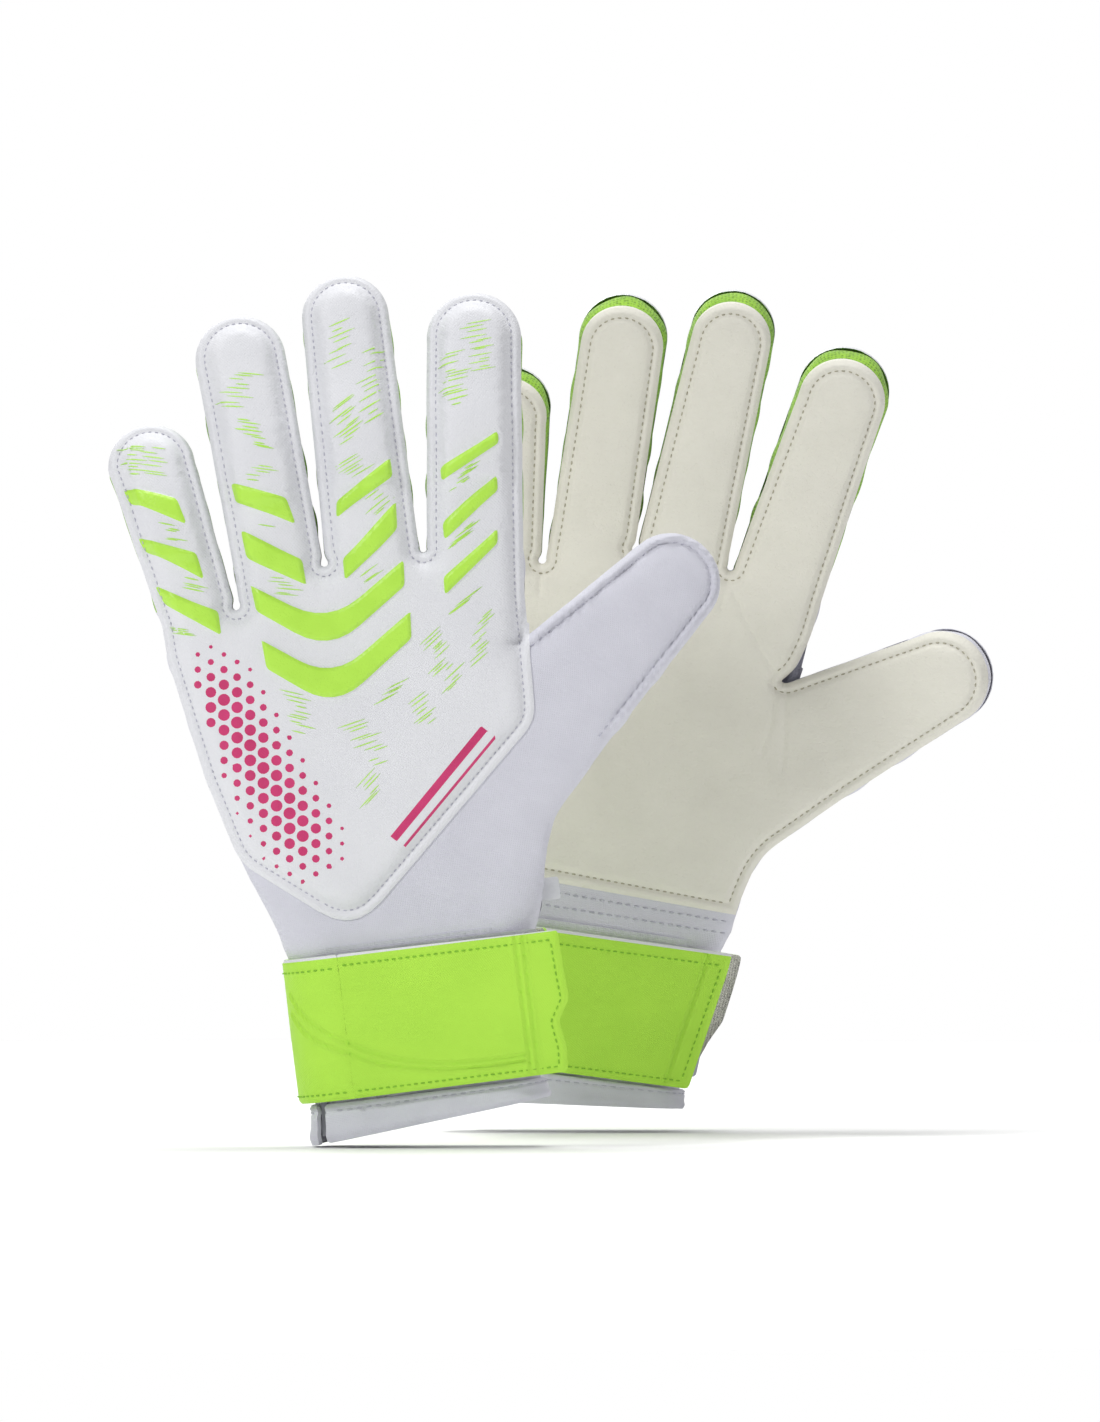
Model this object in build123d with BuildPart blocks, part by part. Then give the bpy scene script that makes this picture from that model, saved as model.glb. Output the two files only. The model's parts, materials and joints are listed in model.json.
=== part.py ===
"""A pair of goalkeeper gloves as they are worn: the left glove in front with its back to the viewer,
the right glove behind it with its palm to the viewer.

Millimetres. +Z is up, towards the fingertips. +X is to the viewer's right. +Y points away from the viewer.
The origin is the centre of the left glove's wrist opening, where the wearer's hand goes in.

Each glove is drawn once, in a hand frame: u runs across the palm towards the thumb, v runs up the hand
towards the fingertips, and w runs through the thickness, from the palm's outer face to the back.
The two gloves share every outline and mirror each other in w.
"""

from build123d import *

import os
from collections import namedtuple
from math import cos, radians, sin, tan

os.makedirs("parts", exist_ok=True)

# ---- layers through the thickness (w) ------------------------------------------------------------
PALM_THICK = 4.0  # latex foam and its backing
CAVITY_TOP = 18.0  # the hand's room runs from PALM_THICK to here
FABRIC_TOP = 20.0  # the back fabric's outer face
THICKNESS = 22.0  # the padded back's outer face
WALL = 2.0  # gussets and side walls
EDGE_INSET = 0.6  # a wall stands this far inside the panels' edges
JOINT_GAP = 0.4  # between two pieces that turn against each other
BEND_BACK = tan(radians(8.0))  # room for bending backwards, per mm of thickness

# ---- digits --------------------------------------------------------------------------------------
# u, v: middle of the hinge line.  turn: of the hinge line, from across the palm.
# lean: of the digit, from square to its hinge line.  root, tip: half widths.
# length: hinge to fingertip.  first: hinge to the second hinge.
Digit = namedtuple("Digit", "u v turn lean root tip length first")
DIGITS = {
    "little": Digit(-48.8, 154.5, 0.0, -11.4, 11.0, 12.4, 50.5, 24.0),
    "ring": Digit(-24.0, 163.5, 0.0, -3.7, 12.6, 12.9, 69.5, 33.0),
    "middle": Digit(2.9, 164.0, 0.0, 0.5, 13.4, 12.4, 77.0, 37.0),
    "index": Digit(32.4, 163.0, 0.0, 7.0, 13.8, 13.5, 68.5, 33.0),
    "thumb": Digit(51.7, 117.6, 51.5, 0.0, 19.0, 14.0, 55.5, 27.0),
}
FINGERS = ("little", "ring", "middle", "index")
CURL = 5.0  # each first segment rests bent this far towards the palm, in degrees
CURL_END = 8.0  # and each end segment this much further

# ---- hand and wrist (u, v) -----------------------------------------------------------------------
HAND_BOTTOM = 58.5
PALM_BOTTOM = 63.2  # the latex ends here and the stitched band begins
LITTLE_EDGE = [(-44.5, 80.0), (-52.0, 106.0), (-58.5, 141.0)]
THUMB_EDGE = [(44.0, 82.0), (40.0, 66.0)]
INDEX_EDGE = [(44.6, 147.0), (38.6, 134.4)]
WRIST_LEFT, WRIST_RIGHT = -36.0, 39.0
PANEL_POINT = (-15.7, 60.0)  # the back panel's lowest point
PANEL_LEFT, PANEL_RIGHT = (-44.7, 80.5), (43.6, 112.0)
PANEL_ROUND = 9.0

# ---- cuff and strap ------------------------------------------------------------------------------
CUFF_WIDTH, CUFF_DEPTH, CUFF_WALL = 66.0, 24.0, 2.2
CUFF_MID = 11.0  # middle of the cuff's thickness, in w
CUFF_TOP = 51.5
HEM_LOW, HEM_TOP, HEM_WALL = -1.0, 9.5, 1.2
SLIT = 6.0  # the gap down the cuff's little-finger side
STRAP_LOW, STRAP_TOP, STRAP_THICK = 10.5, 52.0, 2.6
STRAP_MID = 12.0  # middle of the strap's loop, in w: the hook and loop patches lift its back
STRAP_IN = 13.3  # half of the loop's inner depth
STRAP_START = 34.0  # sewn end, on the palm side at the thumb
STRAP_TURN = -21.0  # centre of the bend at the little finger's side, and the flap's hinge line
FLAP_END = [(39.5, 52.0), (40.0, 45.0), (42.2, 32.0), (39.6, 26.0), (40.4, 18.0), (40.4, 10.5)]
HOOK = (6.0, 15.0, 36.0, 47.0)  # left, low, right, top
LOOP = (-16.0, 13.0, 33.0, 51.2)
PATCH_THICK, PATCH_CORNER = 0.9, 2.0
LABEL = (40.4, 59.5, 45.0, 66.0)
LABEL_THICK = 1.2

# ---- where the two gloves stand ------------------------------------------------------------------
PALM_TO_PALM = 110.0  # room for either glove's fingers to close
Glove = namedtuple("Glove", "side tilt x z palm_y")
GLOVES = {
    "left": Glove(side=1, tilt=7.0, x=0.0, z=0.0, palm_y=CUFF_MID),
    "right": Glove(side=-1, tilt=-12.2, x=35.3, z=4.6, palm_y=CUFF_MID + PALM_TO_PALM),
}


def hand_frame(glove):
    """The plane of the palm's outer face: x is u, y is v, and z is w times the glove's side."""
    across = (cos(radians(glove.tilt)), 0, sin(radians(glove.tilt)))
    return Plane(origin=(glove.x, glove.palm_y, glove.z), x_dir=across, z_dir=(0, -1, 0))


def bent_frame(frame, side, x, y, turn, curl):
    """A frame hinged on another: its x lies along the hinge line, and it is bent towards the palm by curl."""
    return Plane(frame.location * Location((x, y, 0), (0, 0, -turn)) * Location((0, 0, 0), (-side * curl, 0, 0)))


def first_frame(glove, digit):
    return bent_frame(hand_frame(glove), glove.side, digit.u, digit.v, digit.turn, CURL)


def end_frame(glove, digit):
    return bent_frame(first_frame(glove, digit), glove.side, centre(digit, digit.first), digit.first, 0, CURL_END)


def section_frame(glove, v):
    """Across the wrist at v: x is u, and y is w times minus the glove's side."""
    frame = hand_frame(glove)
    return Plane(origin=frame.from_local_coords((0, v, 0)), x_dir=frame.x_dir, z_dir=frame.y_dir)


def centre(digit, y):
    """The digit's centreline at y, in its first frame."""
    return y * tan(radians(digit.lean))


def half_width(digit, y):
    """Half the digit's width at y: it changes evenly from the root to where the round tip begins."""
    return digit.root + (digit.tip - digit.root) * y / (digit.length - digit.tip)


# ---- outlines, each drawn in its frame's own plane ------------------------------------------------
def first_outline(digit, low, high, inset=0.0):
    """A digit's first segment between two heights."""
    rows = [(centre(digit, y), half_width(digit, y) - inset, y) for y in (low, high)]
    with BuildSketch() as outline:
        with BuildLine():
            Polyline(
                *[(c - h, y) for c, h, y in rows],
                *[(c + h, y) for c, h, y in reversed(rows)],
                close=True,
            )
        make_face()
    return outline.sketch


def end_outline(digit, low, inset=0.0):
    """A digit's end segment, from low to its round tip, in its own frame."""
    shift, rise = centre(digit, digit.first), digit.length - digit.tip - digit.first
    foot, foot_half = centre(digit, digit.first + low) - shift, half_width(digit, digit.first + low) - inset
    tip, tip_half = centre(digit, digit.first + rise) - shift, digit.tip - inset
    with BuildSketch() as outline:
        with BuildLine():
            Line((foot + foot_half, low), (foot - foot_half, low))
            Line((foot - foot_half, low), (tip - tip_half, rise))
            ThreePointArc((tip - tip_half, rise), (tip, rise + tip_half), (tip + tip_half, rise))
            Line((tip + tip_half, rise), (foot + foot_half, low))
        make_face()
    return outline.sketch


def finger_row():
    """The hand's upper edge, from the little finger to the index: one straight stretch for each hinge line."""
    row = []
    for name in FINGERS:
        digit = DIGITS[name]
        row += [(digit.u - digit.root, digit.v - JOINT_GAP), (digit.u + digit.root, digit.v - JOINT_GAP)]
    return row


def thumb_ends():
    """The two ends of the thumb's hinge line, on the hand's side of it."""
    thumb = DIGITS["thumb"]
    along = radians(thumb.turn)
    foot = (thumb.u - JOINT_GAP * sin(along), thumb.v - JOINT_GAP * cos(along))
    return [(foot[0] + k * thumb.root * cos(along), foot[1] - k * thumb.root * sin(along)) for k in (-1, 1)]


def hand_outline(low):
    """The whole hand above low, without its digits."""
    with BuildSketch() as outline:
        with BuildLine():
            Polyline(
                (WRIST_LEFT, HAND_BOTTOM),
                *LITTLE_EDGE,
                *finger_row(),
                *INDEX_EDGE,
                *thumb_ends(),
                *THUMB_EDGE,
                (WRIST_RIGHT, HAND_BOTTOM),
                close=True,
            )
        make_face()
        with Locations((0, low)):
            Rectangle(300, 300, align=(Align.CENTER, Align.MIN), mode=Mode.INTERSECT)
    return outline.sketch


def hand_walls():
    """The hand's side walls, open where the fingers, the thumb and the wrist go in."""
    thumb, little = DIGITS["thumb"], DIGITS["little"]
    whole = hand_outline(HAND_BOTTOM)
    with BuildSketch() as walls:
        add(whole)
        with BuildSketch(mode=Mode.SUBTRACT):
            add(whole)
            offset(amount=-WALL, kind=Kind.INTERSECTION)
        for name in FINGERS:
            digit = DIGITS[name]
            with Locations((digit.u, digit.v)):
                Rectangle(2 * (digit.root - EDGE_INSET - WALL), 3 * WALL, mode=Mode.SUBTRACT)
        with Locations(Location((thumb.u, thumb.v, 0), (0, 0, -thumb.turn))):
            Rectangle(2 * (thumb.root - WALL), 3 * WALL, mode=Mode.SUBTRACT)
        with Locations(((WRIST_LEFT + WRIST_RIGHT) / 2, HAND_BOTTOM)):
            Rectangle(WRIST_RIGHT - WRIST_LEFT - 2 * WALL, 3 * WALL, mode=Mode.SUBTRACT)
    return walls.sketch


def panel_outline():
    """The padded back panel: its lower edges meet in a rounded point over the wrist."""
    with BuildSketch() as outline:
        with BuildLine():
            Polyline(
                PANEL_POINT,
                PANEL_LEFT,
                *LITTLE_EDGE[1:],
                *finger_row(),
                INDEX_EDGE[0],
                PANEL_RIGHT,
                close=True,
            )
        make_face()
        fillet(outline.vertices().sort_by_distance(PANEL_POINT)[0], PANEL_ROUND)
        add(hand_outline(HAND_BOTTOM), mode=Mode.INTERSECT)
    return outline.sketch


def box_outline(box, corner=0.0):
    """A rectangle given by its left, low, right and top edges."""
    left, low, right, top = box
    with BuildSketch() as outline:
        with Locations(((left + right) / 2, (low + top) / 2)):
            if corner:
                RectangleRounded(right - left, top - low, corner)
            else:
                Rectangle(right - left, top - low)
    return outline.sketch


def flap_outline():
    """The strap's free length over the back of the wrist, with its die-cut end."""
    with BuildSketch() as outline:
        with BuildLine():
            Polyline(
                (STRAP_TURN + JOINT_GAP, STRAP_LOW),
                (STRAP_TURN + JOINT_GAP, STRAP_TOP),
                *FLAP_END,
                close=True,
            )
        make_face()
    return outline.sketch


# ---- layers --------------------------------------------------------------------------------------
def export(name, part):
    part.label = name
    export_step(part, f"parts/{name}.step")


def sheet(frame, side, w_low, w_high, outline, hole=None):
    """A flat layer of the glove between two levels of w."""
    with BuildPart() as layer:
        with BuildSketch(frame.offset(side * w_low)):
            add(outline)
            if hole:
                add(hole, mode=Mode.SUBTRACT)
        extrude(amount=side * (w_high - w_low))
    return layer.part


def slant(w):
    """How far from its hinge line a segment starts when it reaches out to w, so that it can bend backwards."""
    return JOINT_GAP + w * BEND_BACK


def finger_sheets(name, glove, digit):
    """A finger's first segment: palm side, back and the gusset strips, one down each side."""
    frame, side, high = first_frame(glove, digit), glove.side, digit.first - JOINT_GAP
    palm = first_outline(digit, slant(PALM_THICK), high)
    back = first_outline(digit, slant(THICKNESS), high)
    gusset = first_outline(digit, slant(CAVITY_TOP), high, EDGE_INSET)
    cavity = first_outline(digit, 0, digit.first, EDGE_INSET + WALL)
    export(f"{name}_palm", sheet(frame, side, 0, PALM_THICK, palm))
    export(f"{name}_gusset", sheet(frame, side, PALM_THICK, CAVITY_TOP, gusset, cavity))
    export(f"{name}_back", sheet(frame, side, CAVITY_TOP, THICKNESS, back))


def end_sheets(name, glove, digit):
    """A digit's end segment: palm side, back, and the gusset that goes round the tip between them."""
    frame, side = end_frame(glove, digit), glove.side
    gusset = end_outline(digit, slant(CAVITY_TOP), EDGE_INSET)
    cavity = end_outline(digit, 0, EDGE_INSET + WALL)
    palm = sheet(frame, side, 0, PALM_THICK, end_outline(digit, slant(PALM_THICK)))
    back = sheet(frame, side, CAVITY_TOP, THICKNESS, end_outline(digit, slant(THICKNESS)))
    rim = sheet(frame, side, PALM_THICK, CAVITY_TOP, gusset, cavity)
    export(f"{name}_tip", Compound(children=[palm, rim, back]))


def thumb_sheets(name, glove, digit):
    """The thumb's first segment: latex on the palm side, and a fabric back whose sides wrap down to it."""
    frame, side, high = first_frame(glove, digit), glove.side, digit.first - JOINT_GAP
    palm = first_outline(digit, slant(PALM_THICK), high)
    whole = first_outline(digit, slant(THICKNESS), high)
    cavity = first_outline(digit, 0, digit.first, WALL)
    export(f"{name}_palm", sheet(frame, side, 0, PALM_THICK, palm))
    with BuildPart() as back:
        with BuildSketch(frame.offset(side * PALM_THICK)):
            add(whole)
        extrude(amount=side * (THICKNESS - PALM_THICK))
        with BuildSketch(frame.offset(side * PALM_THICK)):
            add(cavity)
        extrude(amount=side * (CAVITY_TOP - PALM_THICK), mode=Mode.SUBTRACT)
    export(f"{name}_back", back.part)


# ---- hand ----------------------------------------------------------------------------------------
def hand_sheets(name, glove):
    """The hand: latex palm, stitched band, fabric back with its side walls, and the padded panel."""
    frame, side = hand_frame(glove), glove.side
    band = box_outline((WRIST_LEFT + 0.5, HAND_BOTTOM, WRIST_RIGHT - 0.5, PALM_BOTTOM - 0.3))
    whole, walls = hand_outline(HAND_BOTTOM), hand_walls()
    export(f"{name}_palm_latex", sheet(frame, side, 0, PALM_THICK, hand_outline(PALM_BOTTOM)))
    export(f"{name}_palm_band", sheet(frame, side, 0.5, PALM_THICK, band))
    export(f"{name}_backhand_panel", sheet(frame, side, FABRIC_TOP, THICKNESS, panel_outline()))
    with BuildPart() as fabric:
        with BuildSketch(frame.offset(side * CAVITY_TOP)):
            add(whole)
        extrude(amount=side * (FABRIC_TOP - CAVITY_TOP))
        with BuildSketch(frame.offset(side * PALM_THICK)):
            add(walls)
        extrude(amount=side * (CAVITY_TOP - PALM_THICK))
    export(f"{name}_back_fabric", fabric.part)


# ---- cuff and strap ------------------------------------------------------------------------------
def cuff_ring(glove, low, high, width, depth, wall):
    """An oval tube round the wrist, slit down the little finger's side."""
    with BuildPart() as ring:
        with BuildSketch(section_frame(glove, low)):
            with Locations((0, -glove.side * CUFF_MID)):
                SlotOverall(width, depth)
                SlotOverall(width - 2 * wall, depth - 2 * wall, mode=Mode.SUBTRACT)
            with Locations((-width / 2, -glove.side * CUFF_MID)):
                Rectangle(4 * wall, SLIT, mode=Mode.SUBTRACT)
        extrude(amount=high - low)
    return ring.part


def strap_wrap(glove):
    """The strap's sewn length: from the thumb across the palm side and round the little finger's side."""
    with BuildPart() as wrap:
        with BuildSketch(section_frame(glove, STRAP_LOW)):
            with Locations((STRAP_TURN, -glove.side * STRAP_MID)):
                Circle(STRAP_IN + STRAP_THICK)
                Circle(STRAP_IN, mode=Mode.SUBTRACT)
                Rectangle(2 * STRAP_IN + 4 * STRAP_THICK, 80, align=(Align.MIN, Align.CENTER), mode=Mode.SUBTRACT)
            mid = STRAP_MID - STRAP_IN - STRAP_THICK / 2
            with Locations(((STRAP_START + STRAP_TURN) / 2, -glove.side * mid)):
                Rectangle(STRAP_START - STRAP_TURN, STRAP_THICK)
        extrude(amount=STRAP_TOP - STRAP_LOW)
    return wrap.part


def cuff_parts(name, glove):
    frame, side = hand_frame(glove), glove.side
    flap_in = STRAP_MID + STRAP_IN
    cuff_back = CUFF_MID + CUFF_DEPTH / 2
    loop_low = cuff_back + 0.1
    hem_out = 2 * (HEM_WALL + 0.1)
    hem = cuff_ring(glove, HEM_LOW, HEM_TOP, CUFF_WIDTH + hem_out, CUFF_DEPTH + hem_out, HEM_WALL)
    loop = sheet(frame, side, loop_low, loop_low + PATCH_THICK, box_outline(LOOP, PATCH_CORNER))
    hook = sheet(frame, side, flap_in - PATCH_THICK, flap_in, box_outline(HOOK, PATCH_CORNER))
    export(f"{name}_cuff_sleeve", cuff_ring(glove, 0, CUFF_TOP, CUFF_WIDTH, CUFF_DEPTH, CUFF_WALL))
    export(f"{name}_cuff_hem", hem)
    export(f"{name}_strap_wrap", strap_wrap(glove))
    export(f"{name}_loop_patch", loop)
    export(f"{name}_strap_flap", sheet(frame, side, flap_in, flap_in + STRAP_THICK, flap_outline()))
    export(f"{name}_hook_patch", hook)


def make_glove(name, glove):
    for digit_name in FINGERS:
        finger_sheets(f"{name}_{digit_name}", glove, DIGITS[digit_name])
        end_sheets(f"{name}_{digit_name}", glove, DIGITS[digit_name])
    thumb_sheets(f"{name}_thumb", glove, DIGITS["thumb"])
    end_sheets(f"{name}_thumb", glove, DIGITS["thumb"])
    hand_sheets(name, glove)
    cuff_parts(name, glove)


for glove_name, one_glove in GLOVES.items():
    make_glove(glove_name, one_glove)
# a small blank fabric tag, sewn into the left glove's thumb-side seam above the strap
tag = sheet(hand_frame(GLOVES["left"]), 1, CUFF_MID - LABEL_THICK / 2, CUFF_MID + LABEL_THICK / 2, box_outline(LABEL))
export("left_side_label", tag)
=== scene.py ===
"""Goalkeeper gloves: the looks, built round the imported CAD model.

Each glove is shaped flat in its hand frame, in millimetres: u runs across the palm towards the thumb,
v up the hand towards the fingertips and w from the palm's outer face to the back. The digits are then
curled as the CAD ones rest, and the result is placed in the row frame, in metres. Both gloves are made
by the same functions; the right one is the left one's mirror image in w.
"""

import json
import math
from collections import namedtuple

import bpy
import numpy as np
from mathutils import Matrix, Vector, geometry, kdtree


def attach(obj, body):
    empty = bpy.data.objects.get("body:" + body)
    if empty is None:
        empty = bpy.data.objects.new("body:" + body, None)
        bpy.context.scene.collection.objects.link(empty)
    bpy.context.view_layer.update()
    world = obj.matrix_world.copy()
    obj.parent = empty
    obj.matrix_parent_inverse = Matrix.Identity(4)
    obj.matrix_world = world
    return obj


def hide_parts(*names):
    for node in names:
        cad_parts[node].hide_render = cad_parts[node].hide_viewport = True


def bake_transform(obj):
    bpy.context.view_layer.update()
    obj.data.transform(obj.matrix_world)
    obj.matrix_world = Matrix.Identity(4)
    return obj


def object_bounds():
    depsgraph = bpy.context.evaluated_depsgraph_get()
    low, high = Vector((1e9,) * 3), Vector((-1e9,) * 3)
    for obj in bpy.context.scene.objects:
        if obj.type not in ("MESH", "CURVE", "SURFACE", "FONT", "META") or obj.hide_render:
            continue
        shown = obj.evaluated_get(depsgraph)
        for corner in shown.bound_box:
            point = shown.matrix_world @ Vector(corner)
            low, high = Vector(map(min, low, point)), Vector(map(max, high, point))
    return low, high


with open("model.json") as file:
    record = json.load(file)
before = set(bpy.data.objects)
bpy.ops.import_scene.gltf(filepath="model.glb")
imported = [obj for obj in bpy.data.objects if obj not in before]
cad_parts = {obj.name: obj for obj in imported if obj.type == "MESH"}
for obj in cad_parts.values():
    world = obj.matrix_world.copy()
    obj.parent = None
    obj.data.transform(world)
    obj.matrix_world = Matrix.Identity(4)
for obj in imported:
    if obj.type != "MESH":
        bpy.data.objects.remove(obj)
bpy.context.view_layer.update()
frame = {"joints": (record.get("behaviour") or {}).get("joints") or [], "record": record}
RECORD = frame["record"]
MOUNTS = {m["name"]: m for m in RECORD["mounts"]}
JOINTS = {j["name"]: j for j in frame["joints"]}
MM = 0.001

# ---- driving sizes, in millimetres ----
CUFF_MID = 11.0  # middle of the cuff's thickness, in w
BACK_EDGE, BACK_TOP = 16.3, 20.4  # the back fabric at the silhouette and in the middle, in w
PALM_EDGE, PALM_FLAT = 4.6, 0.0  # the latex at the silhouette and in the middle, in w
ROUNDING = 12.5  # how far in from the silhouette a layer goes on rising
PANEL_THICK = 2.1
LATEX_THICK = 2.6
FABRIC_THICK = 1.3
SEAM_IN, LATEX_SEAM_IN, THUMB_SEAM_IN = 2.7, 2.9, 3.0  # how far inside an edge the stitches run
SWELL, TIP_PAD, SEAM_SINK = 1.6, 1.2, 0.8  # the back's foam, a fingertip's pad, and the seam's groove
LATEX_ROLL, LATEX_SINK = 0.8, 0.95  # how far the latex falls at its edge and at its seam
EMBOSS_RISE, EMBOSS_SINK = 0.3, 0.45  # an embossed line's raised sides and its groove
KNUCKLE_BEND = 13.0  # the stretch of a digit that bends at its knuckle
JOINT_BEND = 15.0  # and at its middle joint
WRIST = 48.0  # the hand's oval ends here, in v, and the cuff's begins
CURL, CURL_END = 5.0, 8.0  # how far the segments rest bent, in degrees

Shape = namedtuple("Shape", "lean root tip length first")
SHAPES = {
    "little": Shape(-11.4, 11.0, 12.4, 50.5, 24.0),
    "ring": Shape(-3.7, 12.6, 12.9, 69.5, 33.0),
    "middle": Shape(0.5, 13.4, 12.4, 77.0, 37.0),
    "index": Shape(7.0, 13.8, 13.5, 68.5, 33.0),
    "thumb": Shape(0.0, 19.0, 14.0, 55.5, 27.0),
}
FINGERS = ("little", "ring", "middle", "index")
CROTCHES = [(-37.3, 153.6), (-10.9, 162.7), (17.5, 163.2)]
EYELET = 1.3
TIP_TRIM = 1.5  # the latex ends this much short of the fingertips, and the gusset shows beyond it

LITTLE_SIDE = [(-44.5, 80.5), (-52.0, 106.0), (-58.5, 141.0)]
WRIST_LITTLE = [(-33.2, 44.0), (-34.6, 52.0), (-37.4, 62.0)]
WRIST_THUMB = [(44.2, 82.0), (40.0, 66.0), (38.6, 58.0), (35.0, 50.0), (33.2, 44.0)]
INDEX_SIDE = [(44.8, 147.0, 6), (42.3, 137.5, 4), (38.6, 133.0, 1.5)]
PANEL_SIDE = [(44.6, 147.0), (44.1, 132.0)]
PANEL_CORNER, PANEL_POINT, PANEL_LEFT = (43.4, 111.0), (-15.2, 57.0), (-45.2, 81.0)

CUFF_WIDTH, CUFF_DEPTH, CUFF_WALL = 66.0, 24.0, 1.9
CUFF_TOP = 54.0
HEM_LOW, HEM_TOP = -1.6, 9.8
HEM_RISE = 5.0  # how much higher the hem hangs at the thumb's side
# how far each cuff is pushed from straight under its hand: in u, in v, and in v for each mm of u
CUFF_PUSH = {"left": (0.0, 0.0, 0.0), "right": (3.0, -3.2, 0.085)}
CUFF_STIFF, CUFF_BLEND = 44.0, 34.0  # in v: up to where a cuff is pushed whole, and over what it fades
SLIT_MID, SLIT = 19.0, 5.0
STRAP_LOW, STRAP_TOP = 10.6, 51.8
STRAP_THICK = 2.4
STRAP_MID, STRAP_IN = 12.0, 13.4
STRAP_TURN, STRAP_START = -21.0, 34.6
STRAP_SLANT = 4.6  # the sewn end leans out this much towards its top
FLAP_END = {
    "left": [(42.3, 51.2), (42.6, 40.0), (43.2, 31.5), (39.6, 25.6), (40.8, 18.0), (40.4, 10.9)],
    "right": [(42.6, 51.2), (41.8, 40.0), (40.9, 31.0), (38.2, 25.0), (36.0, 18.0), (34.4, 10.9)],
}


# ---- small numeric helpers ----
def smooth(t):
    t = np.clip(t, 0.0, 1.0)
    return t * t * (3 - 2 * t)


def between(low, high, t):
    return low + (high - low) * t


def bell(x, width):
    return np.exp(-((x / width) ** 2))


def ripple(points, size, seed):
    """Smooth seeded unevenness of about +-1, with features about size across."""
    rng = np.random.default_rng(seed)
    total = np.zeros(len(points))
    for _ in range(9):
        angle, phase = rng.uniform(0, math.pi), rng.uniform(0, 2 * math.pi)
        wave = 2 * math.pi / (size * rng.uniform(1.2, 3.2))
        along = points[:, 0] * math.cos(angle) + points[:, 1] * math.sin(angle)
        total += np.sin(along * wave + phase)
    return total / 4.5


def lengths(line):
    return np.concatenate([[0.0], np.cumsum(np.linalg.norm(np.diff(line, axis=0), axis=1))])


def resample(line, step, closed=False):
    """The same line with points about step apart."""
    line = np.asarray(line, float)
    if closed:
        line = np.vstack([line, line[:1]])
    run = lengths(line)
    count = max(2, int(round(run[-1] / step)))
    at = np.linspace(0, run[-1], count + 1)
    out = np.column_stack([np.interp(at, run, line[:, k]) for k in range(line.shape[1])])
    return out[:-1] if closed else out


def round_corners(corners, steps=6):
    """A line through corners (u, v) or (u, v, radius): those with a radius are rounded off."""
    points = [np.array(c[:2], float) for c in corners]
    out = []
    for i, corner in enumerate(corners):
        if len(corner) < 3:
            out.append(points[i])
            continue
        before, after = points[i - 1] - points[i], points[(i + 1) % len(points)] - points[i]
        reach = min(corner[2], 0.48 * np.linalg.norm(before), 0.48 * np.linalg.norm(after))
        a = points[i] + before / np.linalg.norm(before) * reach
        b = points[i] + after / np.linalg.norm(after) * reach
        for t in np.linspace(0, 1, steps):
            out.append((1 - t) ** 2 * a + 2 * t * (1 - t) * points[i] + t * t * b)
    return np.array(out)


def inside(points, loop):
    """Which points lie inside a closed loop."""
    found = np.zeros(len(points), bool)
    x, y = points[:, 0], points[:, 1]
    for (x1, y1), (x2, y2) in zip(loop, np.roll(loop, -1, axis=0)):
        if y1 == y2:
            continue
        crossing = (y1 > y) != (y2 > y)
        found ^= crossing & (x < (x2 - x1) * (y - y1) / (y2 - y1) + x1)
    return found


class Spots:
    """Distances to the nearest of some spots."""

    def __init__(self, spots):
        self.tree = kdtree.KDTree(len(spots))
        for i, p in enumerate(spots):
            self.tree.insert((p[0], p[1], 0), i)
        self.tree.balance()

    def distance(self, points):
        return np.array([self.tree.find((p[0], p[1], 0))[2] for p in points])


class Nearest(Spots):
    """Distances to a line."""

    STEP = 0.15

    def __init__(self, line, closed=False):
        super().__init__(resample(line, self.STEP, closed))


# ---- hands and digits ----
class Hand:
    """One glove's hand frame, read from its wrist mount and its knuckles."""

    def __init__(self, name):
        mount = MOUNTS[f"{name}_wrist_opening"]
        facing = np.array((0.0, -1.0, 0.0))
        self.name = name
        self.slide, self.lift, self.skew = CUFF_PUSH[name]
        self.v = -np.array(mount["axis"])
        self.u = np.cross(self.v, facing)
        hinge = np.array(JOINTS[f"{name}_middle_knuckle"]["axis"])
        self.side = -1.0 if hinge @ self.u > 0 else 1.0
        self.w = facing * self.side
        self.origin = np.array(mount["pos_m"]) / MM - self.w * CUFF_MID

    def world(self, flat):
        """Row-frame metres of points given flat, in u, v and w."""
        p = curled(np.asarray(flat, float))
        at_cuff = 1 - smooth((p[:, 1] - CUFF_STIFF) / CUFF_BLEND)
        p[:, 1] += (self.lift + self.skew * p[:, 0]) * at_cuff
        p[:, 0] += self.slide * at_cuff
        return (self.origin + p[:, :1] * self.u + p[:, 1:2] * self.v + p[:, 2:] * self.w) * MM

    def flat(self, point_m):
        d = np.array(point_m) / MM - self.origin
        return np.array((d @ self.u, d @ self.v, d @ self.w))


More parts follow.
